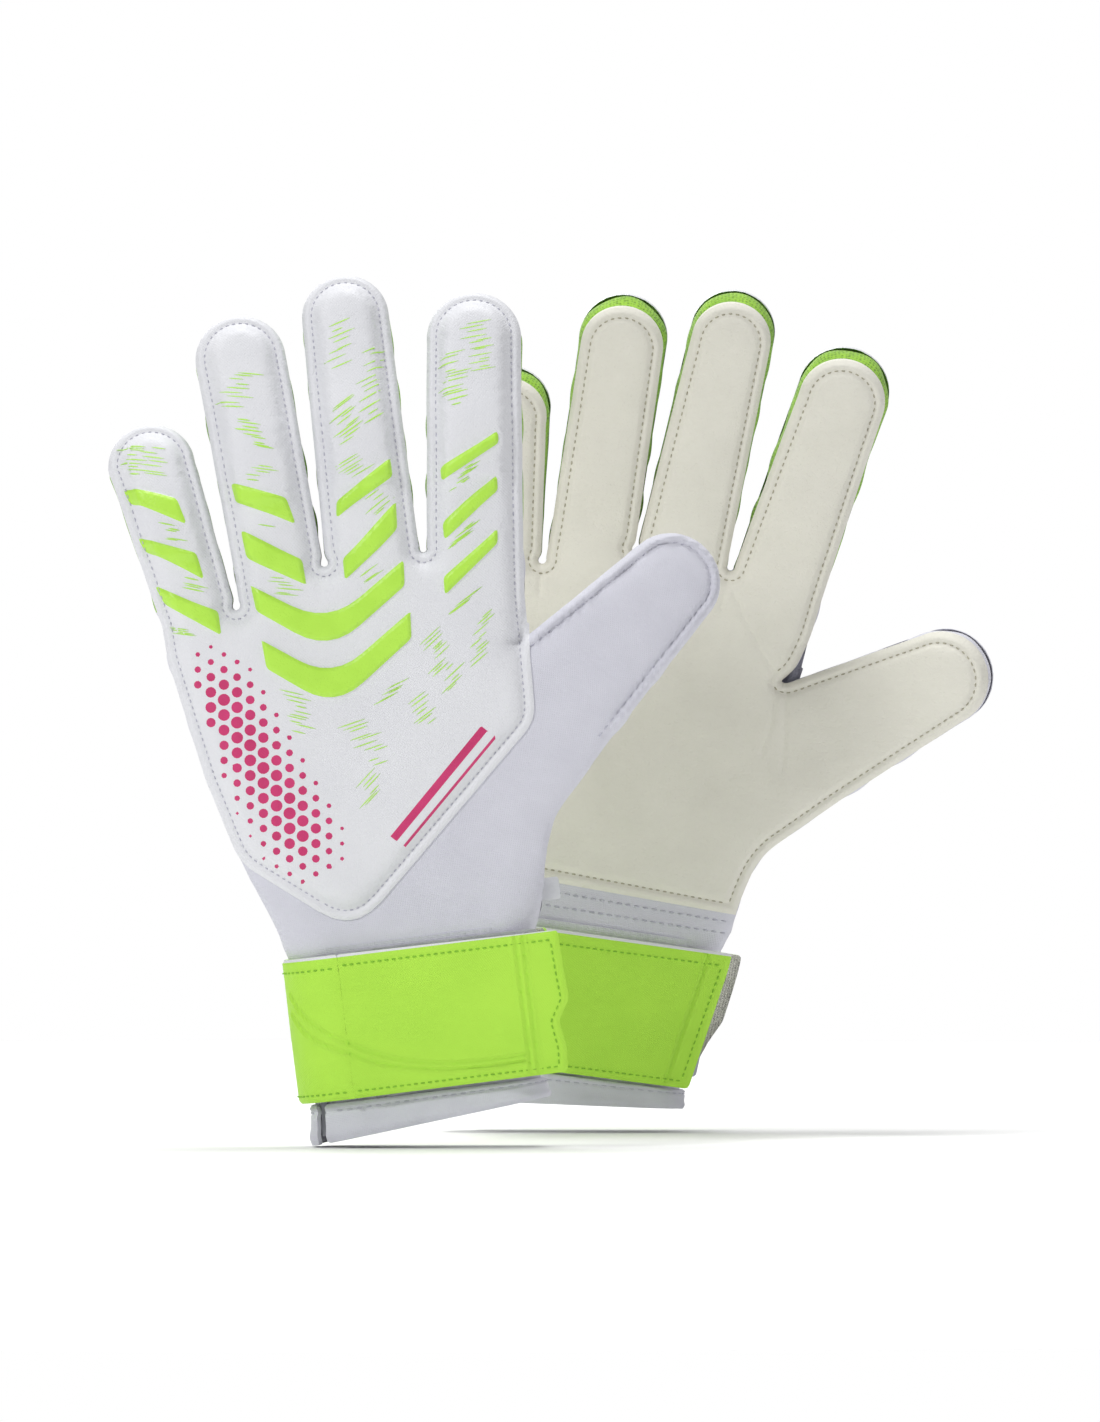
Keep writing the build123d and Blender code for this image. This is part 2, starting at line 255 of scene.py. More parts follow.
class Digit:
    """A finger or thumb. Its own x runs along its knuckle's hinge line and its y away from it."""

    def __init__(self, name, hand):
        joint = JOINTS[f"{hand.name}_{name}_knuckle"]
        along = -hand.side * np.array(joint["axis"])
        self.name = name
        self.foot = hand.flat(joint["pos_m"])[:2]
        self.x = np.array((along @ hand.u, along @ hand.v))
        self.y = np.array((-self.x[1], self.x[0]))
        self.shape = SHAPES[name]

    def local(self, points):
        d = points[:, :2] - self.foot
        return np.column_stack([d @ self.x, d @ self.y])

    def hand(self, x, y):
        return self.foot + x * self.x + y * self.y

    def centre(self, y):
        return y * math.tan(math.radians(self.shape.lean))

    def half(self, y):
        s = self.shape
        return s.root + (s.tip - s.root) * np.clip(y / (s.length - s.tip), -0.2, 1.0)

    def sides(self, low_left, low_right, trim=0.0):
        """The silhouette from the left side's foot, round the tip, to the right side's foot. trim
        makes the tip that much shorter."""
        s = self.shape
        rise, radius = s.length - s.tip - trim / 2, s.tip - trim / 2
        line = [self.hand(self.centre(low_left) - self.half(low_left), low_left)]
        for angle in np.linspace(math.pi, 0, 25):
            x = self.centre(rise) + radius * math.cos(angle)
            line.append(self.hand(x, rise + radius * math.sin(angle)))
        line.append(self.hand(self.centre(low_right) + self.half(low_right), low_right))
        return line


LEFT, RIGHT = Hand("left"), Hand("right")
DIGITS = [Digit(name, LEFT) for name in SHAPES]
BY_NAME = {d.name: d for d in DIGITS}


def owner(points):
    """For each point, the index of the digit it belongs to, or -1, and its x and y there."""
    best = np.full(len(points), 2.5)
    index = np.full(len(points), -1)
    local = np.zeros((len(points), 2))
    for i, digit in enumerate(DIGITS):
        xy = digit.local(points)
        off = np.abs(xy[:, 0] - digit.centre(xy[:, 1])) - digit.half(xy[:, 1])
        mine = (xy[:, 1] > 0) & (off < best)
        best[mine], index[mine], local[mine] = off[mine], i, xy[mine]
    return index, local


def turned(y, w, hinge, angle):
    """Points turned towards the palm about the line y = hinge, w = 0."""
    c, s = np.cos(angle), np.sin(angle)
    dy = y - hinge
    return hinge + dy * c + w * s, w * c - dy * s


def curled(flat):
    """The digits' rest pose: each bends a little to the palm at its knuckle and its middle joint."""
    out = flat.copy()
    index, local = owner(flat)
    for i, digit in enumerate(DIGITS):
        mine = index == i
        x, y, w = local[mine, 0], local[mine, 1], flat[mine, 2]
        first = digit.shape.first
        at_joint = smooth((y - first + JOINT_BEND / 2) / JOINT_BEND)
        at_knuckle = smooth(y / KNUCKLE_BEND)
        y, w = turned(y, w, first, math.radians(CURL_END) * at_joint)
        y, w = turned(y, w, 0.0, math.radians(CURL) * at_knuckle)
        place = digit.foot + np.outer(x, digit.x) + np.outer(y, digit.y)
        out[mine] = np.column_stack([place, w])
    return out


# ---- outlines ----
def crotch(spot):
    """The round eyelet that a gap between two fingers ends in."""
    angles = np.radians(np.linspace(140, 400, 14))
    return [(spot[0] + EYELET * math.cos(a), spot[1] + EYELET * math.sin(a)) for a in angles]


def finger_line(trim=0.0):
    """Over all four fingers, from the little finger's side to the index's."""
    line = []
    for i, name in enumerate(FINGERS):
        line += BY_NAME[name].sides(1.0 if i else -4.0, 1.0 if i < 3 else -4.0, trim)
        if i < len(CROTCHES):
            line += crotch(CROTCHES[i])
    return line


def silhouette():
    """The whole glove's outline above the cuff, anticlockwise."""
    line = [(*p, 6) for p in WRIST_LITTLE + LITTLE_SIDE] + finger_line()
    line += INDEX_SIDE + BY_NAME["thumb"].sides(1.5, 0.0)
    line += [(*p, 6) for p in WRIST_THUMB]
    return round_corners(line)[::-1]


def panel_outline():
    line = [(*PANEL_LEFT, 5), *LITTLE_SIDE[1:], *finger_line(), *PANEL_SIDE]
    line += [(*PANEL_CORNER, 5), (*PANEL_POINT, 12)]
    return round_corners(line)[::-1]


GLOVE_LINE = resample(silhouette(), 1.0, closed=True)
GLOVE_EDGE = Nearest(GLOVE_LINE, closed=True)


def depth_in(loop_line, edge, points):
    """How far inside a loop the points lie, and 0 outside it."""
    return np.where(inside(points, loop_line), edge.distance(points), 0.0)


def crown(points):
    """0 at the silhouette, rising round to 1."""
    depth = depth_in(GLOVE_LINE, GLOVE_EDGE, points)
    return np.sqrt(np.clip(1 - (1 - np.minimum(depth, ROUNDING) / ROUNDING) ** 2, 0, 1))


def oval_face(points, up, edge, top, size, seed):
    """An outer face, in w: edge high at the silhouette and top high in the middle. At the wrist it
    becomes the cuff's oval."""
    v = points[:, 1]
    edge = between(CUFF_MID + up * 0.8, edge, smooth((v - WRIST) / 26))
    top = between(CUFF_MID + up * (CUFF_DEPTH / 2 + 0.5), top, smooth((v - WRIST) / 16))
    return edge + (top - edge) * crown(points) + 0.3 * ripple(points, size, seed)


def back_surface(points):
    return oval_face(points, 1, BACK_EDGE, BACK_TOP, 22, 3)


def palm_surface(points):
    return oval_face(points, -1, PALM_EDGE, PALM_FLAT, 26, 5)


# ---- meshes ----
ROW_STEP = 0.866  # between the rows of a hexagonal grid, for a step of 1


def hex_grid(low, high, step):
    rows = np.arange(low[1], high[1], step * ROW_STEP)
    cols = np.arange(low[0], high[0], step)
    points = [(x + (step / 2 if i % 2 else 0), y) for i, y in enumerate(rows) for x in cols]
    return np.array(points)


FINE, COARSE, EDGE_BAND, LINE_BAND = 0.8, 2.0, 4.6, 1.6  # the triangles' sizes, and where they are fine


def fill(outline, features=(), cuts=()):
    """Triangles that fill an outline. They are small by the outline and by the features, which are
    closed loops that the triangles follow, and they don't cross the cuts, which are open lines."""
    outline = resample(outline, FINE, closed=True)
    points, edges, count = [], [], 0
    for loop in (outline, *[resample(f, FINE, closed=True) for f in features]):
        edges += [(count + i, count + (i + 1) % len(loop)) for i in range(len(loop))]
        points.append(loop)
        count += len(loop)
    for cut in cuts:
        cut = resample(cut, FINE)
        edges += [(count + i, count + i + 1) for i in range(len(cut) - 1)]
        points.append(cut)
        count += len(cut)
    edge = Nearest(outline, closed=True)
    lines = Spots(np.vstack(points))
    low, high = outline.min(0), outline.max(0)
    for step, is_fine in ((FINE, True), (COARSE, False)):
        grid = hex_grid(low, high, step)
        grid = grid[inside(grid, outline)]
        away = lines.distance(grid)
        near = (edge.distance(grid) < EDGE_BAND) | (away < LINE_BAND)
        points.append(grid[(near if is_fine else ~near) & (away > 0.5 * FINE)])
    spots = [Vector(p) for p in np.vstack(points)]
    verts, _, faces, *_ = geometry.delaunay_2d_cdt(spots, edges, [], 1, 1e-5)
    verts = np.array([tuple(p) for p in verts])
    tris = np.array([f for f in faces if len(f) == 3])
    return verts, tris[inside(verts[tris].mean(1), outline)]


def normals_of(points, tris):
    corners = points[tris]
    face = np.cross(corners[:, 1] - corners[:, 0], corners[:, 2] - corners[:, 0])
    total = np.zeros_like(points)
    for k in range(3):
        np.add.at(total, tris[:, k], face)
    return total / np.maximum(np.linalg.norm(total, axis=1), 1e-12)[:, None]


class Build:
    """Collects the faces of one piece. Each point keeps its flat place, in millimetres, for the
    material."""

    def __init__(self, hand):
        self.hand = hand
        self.verts, self.cloth, self.faces, self.mats, self.normals = [], [], [], [], []

    def add(self, world, cloth, faces, mats, normals=None):
        """Adds faces over world points, anticlockwise as the left glove has them. Without normals
        for the points, Blender works them out."""
        start = len(self.verts)
        self.verts += [tuple(p) for p in world]
        self.cloth += [tuple(p) for p in cloth]
        mats = [mats] * len(faces) if isinstance(mats, int) else list(mats)
        for face, mat in zip(faces, mats):
            face = [int(i) for i in (face if self.hand.side > 0 else face[::-1])]
            self.faces.append([start + i for i in face])
            self.mats.append(int(mat))
            self.normals += [(0, 0, 0) if normals is None else tuple(normals[i]) for i in face]

    def make(self, name, finishes):
        mesh = bpy.data.meshes.new(name)
        mesh.from_pydata(self.verts, [], self.faces)
        mesh.polygons.foreach_set("material_index", self.mats)
        mesh.polygons.foreach_set("use_smooth", [True] * len(self.faces))
        for finish in finishes:
            mesh.materials.append(finish.material)
        cloth = mesh.attributes.new("cloth", "FLOAT_VECTOR", "POINT")
        cloth.data.foreach_set("vector", np.array(self.cloth, dtype=np.float32).ravel())
        mesh.update()
        if any(n != (0, 0, 0) for n in self.normals):
            mesh.normals_split_custom_set(self.normals)
        piece = bpy.data.objects.new(name, mesh)
        bpy.context.scene.collection.objects.link(piece)
        return piece


def shell(hand, sides, cloth, faces, mats, inner_mat, normals, thick):
    """A closed piece: faces on the outer side, the same ones turned over on the inner, and rims."""
    used = np.unique(faces)
    fresh = np.full(len(cloth), -1)
    fresh[used] = np.arange(len(used))
    faces, count, corners = fresh[faces], len(used), faces.shape[1]
    directed = {(int(f[k]), int(f[(k + 1) % corners])) for f in faces for k in range(corners)}
    rims = sorted((a, b) for a, b in directed if (b, a) not in directed)
    world, flat = np.vstack([side[used] for side in sides]), np.vstack([cloth[used]] * 2)
    both = [tuple(f) for f in faces] + [tuple(f[::-1] + count) for f in faces]
    build = Build(hand)
    mats = [*mats, *[inner_mat] * len(faces)]
    build.add(world, flat, both, mats, np.vstack([normal[used] for normal in normals]))
    ends = np.array(sorted({i for rim in rims for i in rim}))
    where, n = {int(i): k for k, i in enumerate(ends)}, len(ends)
    rim_world = np.vstack([world[ends], world[ends + count]])
    rim_flat = np.vstack([flat[ends], flat[ends] + (0, 0, thick)])
    rim_faces = [(where[a] + n, where[b] + n, where[b], where[a]) for a, b in rims]
    build.add(rim_world, rim_flat, rim_faces, 0)
    return build


class Layer:
    """A sheet: triangles in two flat coordinates, an outer and an inner height, and loose details on
    it. up is -1 where the outer face looks towards the palm. mirrored is for coordinates that are
    left-handed."""

    def __init__(self, outline, outer, thick, up=1, mirrored=False, features=(), mats=(), cuts=()):
        self.up, self.mirrored, self.outer, self.thick = up, mirrored, outer, thick
        self.points, self.tris = fill(outline, features, cuts)
        self.height = outer(self.points)
        self.mats = np.zeros(len(self.tris), int)
        middle = self.points[self.tris].mean(1)
        for loop, mat in zip(features, mats):
            if mat:
                self.mats[inside(middle, loop)] = mat
        if (up < 0) != mirrored:
            self.tris = self.tris[:, ::-1]
        self.details = []

    def detail(self, flat, faces, mat):
        """A small closed solid on the sheet, such as a stitch: flat points and faces."""
        self.details.append((np.array(flat), faces, mat))

    def pieces(self, hand, wanted, inner_mat, place=None):
        """One Build for each wanted region. wanted maps a name to a test of flat points."""
        place = place or hand.world
        out = place(np.column_stack([self.points, self.height]))
        inner = place(np.column_stack([self.points, self.height - self.up * self.thick]))
        cloth = np.column_stack([self.points, np.zeros(len(self.points))])
        normal_out = normals_of(out, self.tris) * hand.side
        normal_in = -normals_of(inner, self.tris) * hand.side
        middle = self.points[self.tris].mean(1)
        made = {}
        for name, test in wanted.items():
            mask = test(middle)
            mats, normals = self.mats[mask], (normal_out, normal_in)
            made[name] = shell(
                hand, (out, inner), cloth, self.tris[mask], mats, inner_mat, normals, self.thick
            )
        for flat, faces, mat in self.details:
            spot = flat[:, :2].mean(0)[None]
            if self.mirrored:
                faces = [f[::-1] for f in faces]
            for name, test in wanted.items():
                if test(spot)[0]:
                    made[name].add(place(flat), flat, faces, mat)
                    break
        return made


# ---- stitches and print ----
def offset_line(outline, depth):
    """The line that runs inside an anticlockwise outline at a depth."""
    line = resample(outline, 0.5, closed=True)
    ahead, behind = np.roll(line, -2, axis=0), np.roll(line, 2, axis=0)
    along = ahead - behind
    along /= np.maximum(np.linalg.norm(along, axis=1), 1e-9)[:, None]
    inward = np.column_stack([-along[:, 1], along[:, 0]])
    moved = line + inward * depth
    far = Nearest(outline, closed=True).distance(moved)
    return moved[far > depth - 0.12]


# along a stitch: how far along it, its height and its share of the radius
STITCH_PROFILE = [
    (0.0, -0.22, 0.55),
    (0.18, 0.12, 0.95),
    (0.5, 0.24, 1.0),
    (0.82, 0.12, 0.95),
    (1.0, -0.22, 0.55),
]
STITCH_SIDES = 6


def stitch_solid(a, b, lift_a, lift_b, up, radius):
    """One stitch from a to b: a short thread that dips into the sheet at both ends."""
    along = (b - a) / max(np.linalg.norm(b - a), 1e-9)
    across = np.array((-along[1], along[0]))
    rings, faces, sides, last = [], [], STITCH_SIDES, len(STITCH_PROFILE) - 1
    for t, rise, size in STITCH_PROFILE:
        centre = a + (b - a) * t
        base = between(lift_a, lift_b, t) + up * rise
        for k in range(sides):
            angle = 2 * math.pi * k / sides
            spot = centre + across * math.cos(angle) * radius * size
            rings.append((spot[0], spot[1], base + math.sin(angle) * radius * size))
    for ring in range(last):
        for k in range(sides):
            a0, a1 = ring * sides + k, ring * sides + (k + 1) % sides
            faces.append((a0, a1, a1 + sides, a0 + sides))
    faces.append(tuple(range(sides))[::-1])
    faces.append(tuple(last * sides + k for k in range(sides)))
    return rings, faces


def sew(layer, line, mat, pitch, length, radius):
    """Stitches along a line on a layer. Where the line jumps, the seam stops."""
    runs, start = [], 0
    gaps = np.linalg.norm(np.diff(line, axis=0), axis=1)
    for i, gap in enumerate(gaps):
        if gap > 2.5:
            runs.append(line[start : i + 1])
            start = i + 1
    runs.append(line[start:])
    ends = []
    for run in runs:
        if len(run) < 6:
            continue
        total = lengths(run)
        for at in np.arange(0.4, total[-1] - length, pitch):
            spots = (at, at + length)
            ends.append(np.column_stack([np.interp(spots, total, run[:, k]) for k in range(2)]))
    if not ends:
        return
    heights = layer.outer(np.array(ends).reshape(-1, 2)).reshape(-1, 2)
    for (a, b), (low, high) in zip(ends, heights):
        flat, faces = stitch_solid(a, b, low, high, layer.up, radius)
        layer.detail(flat, faces, mat)


def dash(layer, a, b, width, mat):
    """A thin printed line on a layer, pointed at both ends."""
    proud, sunk = 0.07, 0.25
    along = (b - a) / np.linalg.norm(b - a)
    across = np.array((-along[1], along[0])) * width / 2
    spots = []
    for t, share in ((0.0, 0.15), (0.25, 0.9), (0.5, 1.0), (0.75, 0.9), (1.0, 0.15)):
        spots += [a + (b - a) * t - across * share, a + (b - a) * t + across * share]
    spots = np.array(spots)
    base = layer.outer(spots)
    up, count = layer.up, len(spots)
    top, foot = np.column_stack([spots, base + up * proud]), np.column_stack([spots, base - up * sunk])
    flat = np.vstack([top, foot])
    faces = []
    for k in range(0, count - 2, 2):
        m = k + count
        faces += [(k, k + 2, k + 3, k + 1), (m, m + 1, m + 3, m + 2)]
        faces += [(k, m, m + 2, k + 2), (k + 1, k + 3, m + 3, m + 1)]
    faces += [(0, 1, 1 + count, count), (count - 2, 2 * count - 2, 2 * count - 1, count - 1)]
    layer.detail(flat, faces if up > 0 else [f[::-1] for f in faces], mat)


# ---- the print and the embossed bars on the back (u, v) ----
BAR_CORNERS = [  # a third number is a corner's rounding, where it isn't the usual one
    [(-65.3, 186.3), (-63.7, 182.2), (-48.2, 175.5), (-50.2, 181.4)],
    [(-62.7, 174.4), (-61.0, 170.3), (-45.2, 161.0), (-46.6, 167.9)],
    [(-59.5, 161.3), (-57.4, 156.5), (-42.3, 145.7), (-42.4, 152.7)],
    [(-34.5, 186.7), (-33.7, 180.9), (-17.5, 172.9), (-19.3, 180.3)],
    [(-33.3, 173.3), (-32.6, 166.5), (-16.6, 157.0), (-16.9, 164.3)],
    [(-5.3, 177.7), (-5.9, 173.3), (11.5, 182.8), (11.4, 188.1)],
    [(-5.5, 163.2), (-5.6, 157.0), (11.0, 169.1), (11.5, 175.6)],
    [(25.1, 183.7), (25.1, 179.7), (42.6, 188.5), (42.7, 191.7)],
    [(23.9, 169.0), (23.8, 164.8), (40.7, 175.2), (40.9, 179.5)],
    [(22.3, 154.5), (22.1, 149.3), (38.8, 162.2), (39.3, 166.2)],
    [
        *[(-31.7, 151.4), (-12.4, 137.2, 13), (11.1, 153.4)],
        *[(11.7, 160.8), (-11.8, 145.2, 14), (-32.4, 158.8)],
    ],
    [
        *[(-30.7, 134.8), (-12.8, 121.2, 13), (11.2, 138.3)],
        *[(11.8, 146.0), (-12.4, 129.6, 14), (-31.2, 143.0)],
    ],
]
BARS = [round_corners([(*c, 1.1)[:3] for c in bar], 7) for bar in BAR_CORNERS]
BAR_RAISE, BAR_BEVEL = 0.8, 0.6
HATCHES = [  # a line that short strokes are stacked along, their direction and their number
    ([(-60.5, 198.9), (-61.0, 188.7)], -12, 9),
    ([(-54.8, 196.2), (-56.2, 188.2)], -14, 7),
    ([(-53.3, 178.0), (-52.6, 171.5)], -14, 7),
    ([(-49.6, 164.9), (-48.9, 158.5)], -16, 7),
    ([(-56.6, 150.7), (-51.2, 146.3)], -14, 5),
    ([(-26.2, 215.2), (-31.7, 204.6)], -12, 9),
    ([(-29.4, 201.4), (-24.3, 194.0)], -12, 10),
    ([(-25.4, 191.1), (-26.8, 186.0)], -14, 5),
    ([(-24.0, 178.5), (-23.9, 172.8)], -14, 6),
    ([(-23.8, 161.7), (-22.5, 154.0)], -12, 7),
    ([(2.9, 226.6), (0.5, 212.7)], 16, 8),
    ([(10.1, 217.5), (8.4, 198.2)], 20, 11),
    ([(-0.3, 203.8), (1.2, 194.3)], 24, 10),
    ([(-0.1, 189.5), (3.1, 185.1)], 24, 6),
    ([(5.5, 180.6), (7.4, 171.3)], 30, 7),
    ([(0.1, 161.0), (4.8, 152.7)], 28, 8),
    ([(40.0, 221.4), (41.6, 206.0)], 4, 13),
    ([(33.1, 213.2), (31.6, 197.6)], 6, 12),
    ([(35.1, 183.7), (29.2, 177.7)], 24, 9),
    ([(33.5, 170.4), (27.3, 162.9)], 26, 9),
    ([(30.9, 149.0), (23.6, 144.6)], 30, 9),
    ([(17.8, 140.1), (18.6, 131.0), (22.4, 123.0)], 36, 15),
    ([(34.0, 144.1), (30.7, 135.5), (28.3, 128.3)], 34, 10),
    ([(6.6, 127.0), (1.4, 121.6)], 20, 7),
    ([(-24.6, 128.8), (-22.6, 114.9)], -20, 11),
    ([(-8.1, 117.9), (-4.0, 110.9), (-1.2, 103.7)], 12, 10),
    ([(-6.0, 101.0), (-5.8, 92.9)], 40, 6),
    ([(9.5, 121.0), (13.4, 113.4)], 30, 7),
]
DOT_FROM, DOT_TO = (-50.0, 141.0), (-21.5, 74.0)
DOT, DOT_LEAST, DOT_BAND, DOT_PITCH = 2.05, 0.55, 12.5, 4.3  # the radii of the dots, and their band
PINSTRIPES = [((-0.8, 82.4), (28.6, 110.4), 2.3), ((2.0, 79.9), (31.4, 107.6), 0.8)]


def disc(centre, radius):
    """A dot: a rounded hexagon."""
    angles = np.linspace(0, 2 * math.pi, 6, endpoint=False) + 0.3
    x, y = centre[0] + radius * np.cos(angles), centre[1] + radius * np.sin(angles)
    return round_corners([(*corner, radius * 0.5) for corner in zip(x, y)], 3)


def strip_of(a, b, width):
    a, b = np.array(a), np.array(b)
    across = np.array((-(b - a)[1], (b - a)[0])) / np.linalg.norm(b - a) * width / 2
    return np.array([a + across, a - across, b - across, b + across])


def halftone():
    """Dots that shrink away from the middle of a slanting band."""
    start, stop = np.array(DOT_FROM), np.array(DOT_TO)
    run = np.linalg.norm(stop - start)
    along = (stop - start) / run
    across = np.array((-along[1], along[0]))
    dots = []
    for i, a in enumerate(np.arange(0, run, DOT_PITCH * ROW_STEP)):
        for c in np.arange(-DOT_BAND, DOT_BAND, DOT_PITCH):
            off = c + (DOT_PITCH / 2 if i % 2 else 0)
            by_end = min(1.0, 0.4 + 3.2 * min(a, run - a) / run)
            size = DOT * (1 - (abs(off) / (DOT_BAND + 3)) ** 1.6) * by_end
            spot = start + along * a + across * off
            if size > DOT_LEAST and spot[0] > -52 + (140 - spot[1]) * 0.16:
                dots.append(disc(spot, size))
    return dots


PANEL_LINE = resample(panel_outline(), 1.0, closed=True)
PANEL_EDGE = Nearest(PANEL_LINE, closed=True)
BAR_SPOTS = Spots(np.vstack([resample(bar, 0.15, closed=True) for bar in BARS]))


def in_bars(points):
    found = np.zeros(len(points), bool)
    for bar in BARS:
        found |= inside(points, bar)
    return found


def panel_surface(points):
    """The padded back panel's outer face: a thin sewn flange, then foam that swells up inside it."""
    d = depth_in(PANEL_LINE, PANEL_EDGE, points)
    index, local = owner(points)
    first = np.array([digit.shape.first for digit in DIGITS])[index]
    tip_pad = np.where((index >= 0) & (index < 4), smooth((local[:, 1] - 0.45 * first) / 3.0), 0.0)
    rise = 0.4 + 0.5 * smooth(d / 0.9) + SWELL * smooth((d - SEAM_IN) / 3.6)
    rise += TIP_PAD * tip_pad * smooth((d - 4.1) / 0.9) - SEAM_SINK * bell(d - SEAM_IN, 0.8)
    rise += 0.35 * ripple(points, 20, 7) * smooth((d - 3) / 8)
    rise += BAR_RAISE * in_bars(points) * smooth(BAR_SPOTS.distance(points) / BAR_BEVEL)
    return back_surface(points) + rise


def palm_outline():
    line = [(-37.9, 63.2), (-44.5, 80.5, 6), *[(*p, 6) for p in LITTLE_SIDE[1:]]]
    line += finger_line(TIP_TRIM)
    line += INDEX_SIDE + BY_NAME["thumb"].sides(1.5, 0.0)
    line += [(44.2, 82.0, 6), (40.0, 66.0), (39.4, 63.2)]
    return round_corners(line)[::-1]


PALM_LINE = resample(palm_outline(), 1.0, closed=True)
PALM_EDGE_LINE = Nearest(PALM_LINE, closed=True)
CREASES = [  # the latex's folds: a line and its depth
    ([(41.0, 130.5), (43.2, 120.0), (45.0, 108.0)], 0.32),
    ([(38.0, 130.0), (38.8, 121.0), (38.0, 111.0)], 0.25),
    ([(18.5, 157.5), (24.0, 150.0), (30.0, 142.5), (36.0, 136.0)], 0.3),
    ([(-37.3, 151.5), (-36.0, 143.5)], 0.45),
    ([(-38.5, 151.0), (-43.5, 146.0)], 0.35),
    ([(-10.9, 160.5), (-10.6, 151.0)], 0.4),
    ([(17.5, 161.0), (17.0, 151.0)], 0.4),
    ([(-55.0, 132.0), (-40.0, 128.0), (-26.0, 131.0)], 0.2),
]
CREASE_LINES = [(Nearest(line), depth) for line, depth in CREASES]


def latex_surface(points):
    """The latex palm's outer face. Its edge rolls over, and a sewn groove runs inside it."""
    d = depth_in(PALM_LINE, PALM_EDGE_LINE, points)
    sink = LATEX_ROLL * (1 - smooth(d / 1.3)) + LATEX_SINK * bell(d - LATEX_SEAM_IN, 0.8)
    for line, depth in CREASE_LINES:
        off = line.distance(points)
        sink += depth * bell(off, 0.8) - 0.4 * depth * bell(off - 1.9, 1.2)
    return palm_surface(points) + sink + 0.25 * ripple(points, 13, 11) * smooth((d - 3) / 6)


def fabric_outline():
    line = [(*p, 6) for p in WRIST_LITTLE + LITTLE_SIDE]
    line += [(-57.2, 148.0), (41.4, 148.0), (40.9, 139.5, 3), (39.0, 133.6, 1.5)]
    line += BY_NAME["thumb"].sides(1.5, 0.0)
    line += [(*p, 6) for p in WRIST_THUMB]
    return round_corners(line)[::-1]


FABRIC_LINE = resample(fabric_outline(), 1.0, closed=True)
FABRIC_EDGE = Nearest(FABRIC_LINE, closed=True)
THUMB = BY_NAME["thumb"]


def fabric_surface(points):
    """The back fabric's outer face. The binding round the thumb is gathered and stands up."""
    d = depth_in(FABRIC_LINE, FABRIC_EDGE, points)
    x, y = THUMB.local(points).T
    on_thumb = smooth(y / 8)
    gather = 0.5 + 0.5 * np.sin(np.arctan2(y - 38, x) * 34 + y * 2.3)
    binding = on_thumb * (1 - smooth((d - 2.4) / 0.7)) * smooth(d / 0.6) * (0.5 + 0.8 * gather)
    puckers = on_thumb * 0.4 * gather * bell(d - 3.6, 1.8)
    groove = 0.9 * on_thumb * bell(d - THUMB_SEAM_IN, 0.6)
    return back_surface(points) + binding - puckers - groove


def band_surface(points):
    return palm_surface(points) + 1.2 + 0.12 * ripple(points, 9, 13)


# ---- walls between the palm and the back ----
class Wall:
    """The strip of side that joins the palm's edge to the back's along an outline."""

    ROWS, THICK = 9, 1.1
    INSET, BULGE, WRINKLE, SEED = 1.1, 1.15, 0.12, 21

    def __init__(self, line):
        line = resample(line, 0.9)
        along = np.gradient(line, axis=0)
        along /= np.linalg.norm(along, axis=1)[:, None]
        outward = np.column_stack([along[:, 1], -along[:, 0]])
        run = lengths(line)
        low, high = palm_surface(line) + 0.9, back_surface(line) - 0.3
        t = np.linspace(0, 1, self.ROWS)
        tip = np.zeros(len(line))
        index, local = owner(line)
        for i, digit in enumerate(DIGITS):
            rise = digit.shape.length - digit.shape.tip
            if digit is not THUMB:
                tip = np.where(index == i, smooth((local[:, 1] - rise + 2) / 8), tip)
        belly = self.BULGE * np.sin(math.pi * t) - TIP_TRIM * 0.55 * tip[:, None] * (1 - t) ** 2
        rng = np.random.default_rng(self.SEED)
        waves = 0
        for phase in range(5):
            length, slant = rng.uniform(1.1, 3.4), 2.2 * rng.uniform(-1, 1)
            waves = waves + np.sin(run[:, None] / length + slant * t + phase)
        push = belly - self.INSET + self.WRINKLE * waves * np.sin(math.pi * t)
        self.mid = line
        self.shape = (len(line), self.ROWS)
        w = low[:, None] + (high - low)[:, None] * t
        self.out = self.flat(line, outward, push, w)
        self.inner = self.flat(line, outward, push - self.THICK, w)
        self.cloth = np.column_stack([np.repeat(run, self.ROWS), w.ravel(), np.zeros(w.size)])

    @staticmethod
    def flat(line, outward, push, w):
        spots = line[:, None, :] + outward[:, None, :] * push[:, :, None]
        return np.concatenate([spots, w[:, :, None]], axis=2).reshape(-1, 3)

    def pieces(self, hand, wanted):
        count, rows = self.shape
        out, inner = hand.world(self.out), hand.world(self.inner)
        corner = (np.arange(count - 1)[:, None] * rows + np.arange(rows - 1)).ravel()
        quads = np.column_stack([corner, corner + rows, corner + rows + 1, corner + 1])
        tris = np.vstack([quads[:, [0, 1, 2]], quads[:, [0, 2, 3]]])
        normal = normals_of(out, tris) * hand.side
        column = quads[:, 0] // rows
        middle = (self.mid[column] + self.mid[column + 1]) / 2
        made = {}
        for name, test in wanted.items():
            chosen = quads[test(middle)]
            if not len(chosen):
                continue
            normals = (normal, -normal)
            made[name] = shell(hand, (out, inner), self.cloth, chosen, [0] * len(chosen), 0, normals, 0)
        return made


# ---- which piece a spot belongs to ----
SPLIT = 7.0  # a digit's end pieces start this far below its middle joint


def codes(points):
    """-1 on the hand, 2 i on digit i's first segment and 2 i + 1 on its end."""
    index, local = owner(points)
    first = np.array([digit.shape.first for digit in DIGITS])[index]
    return np.where(index < 0, -1, 2 * index + (local[:, 1] > first - SPLIT))


def within(*allowed):
    return lambda points: np.isin(codes(points), allowed)


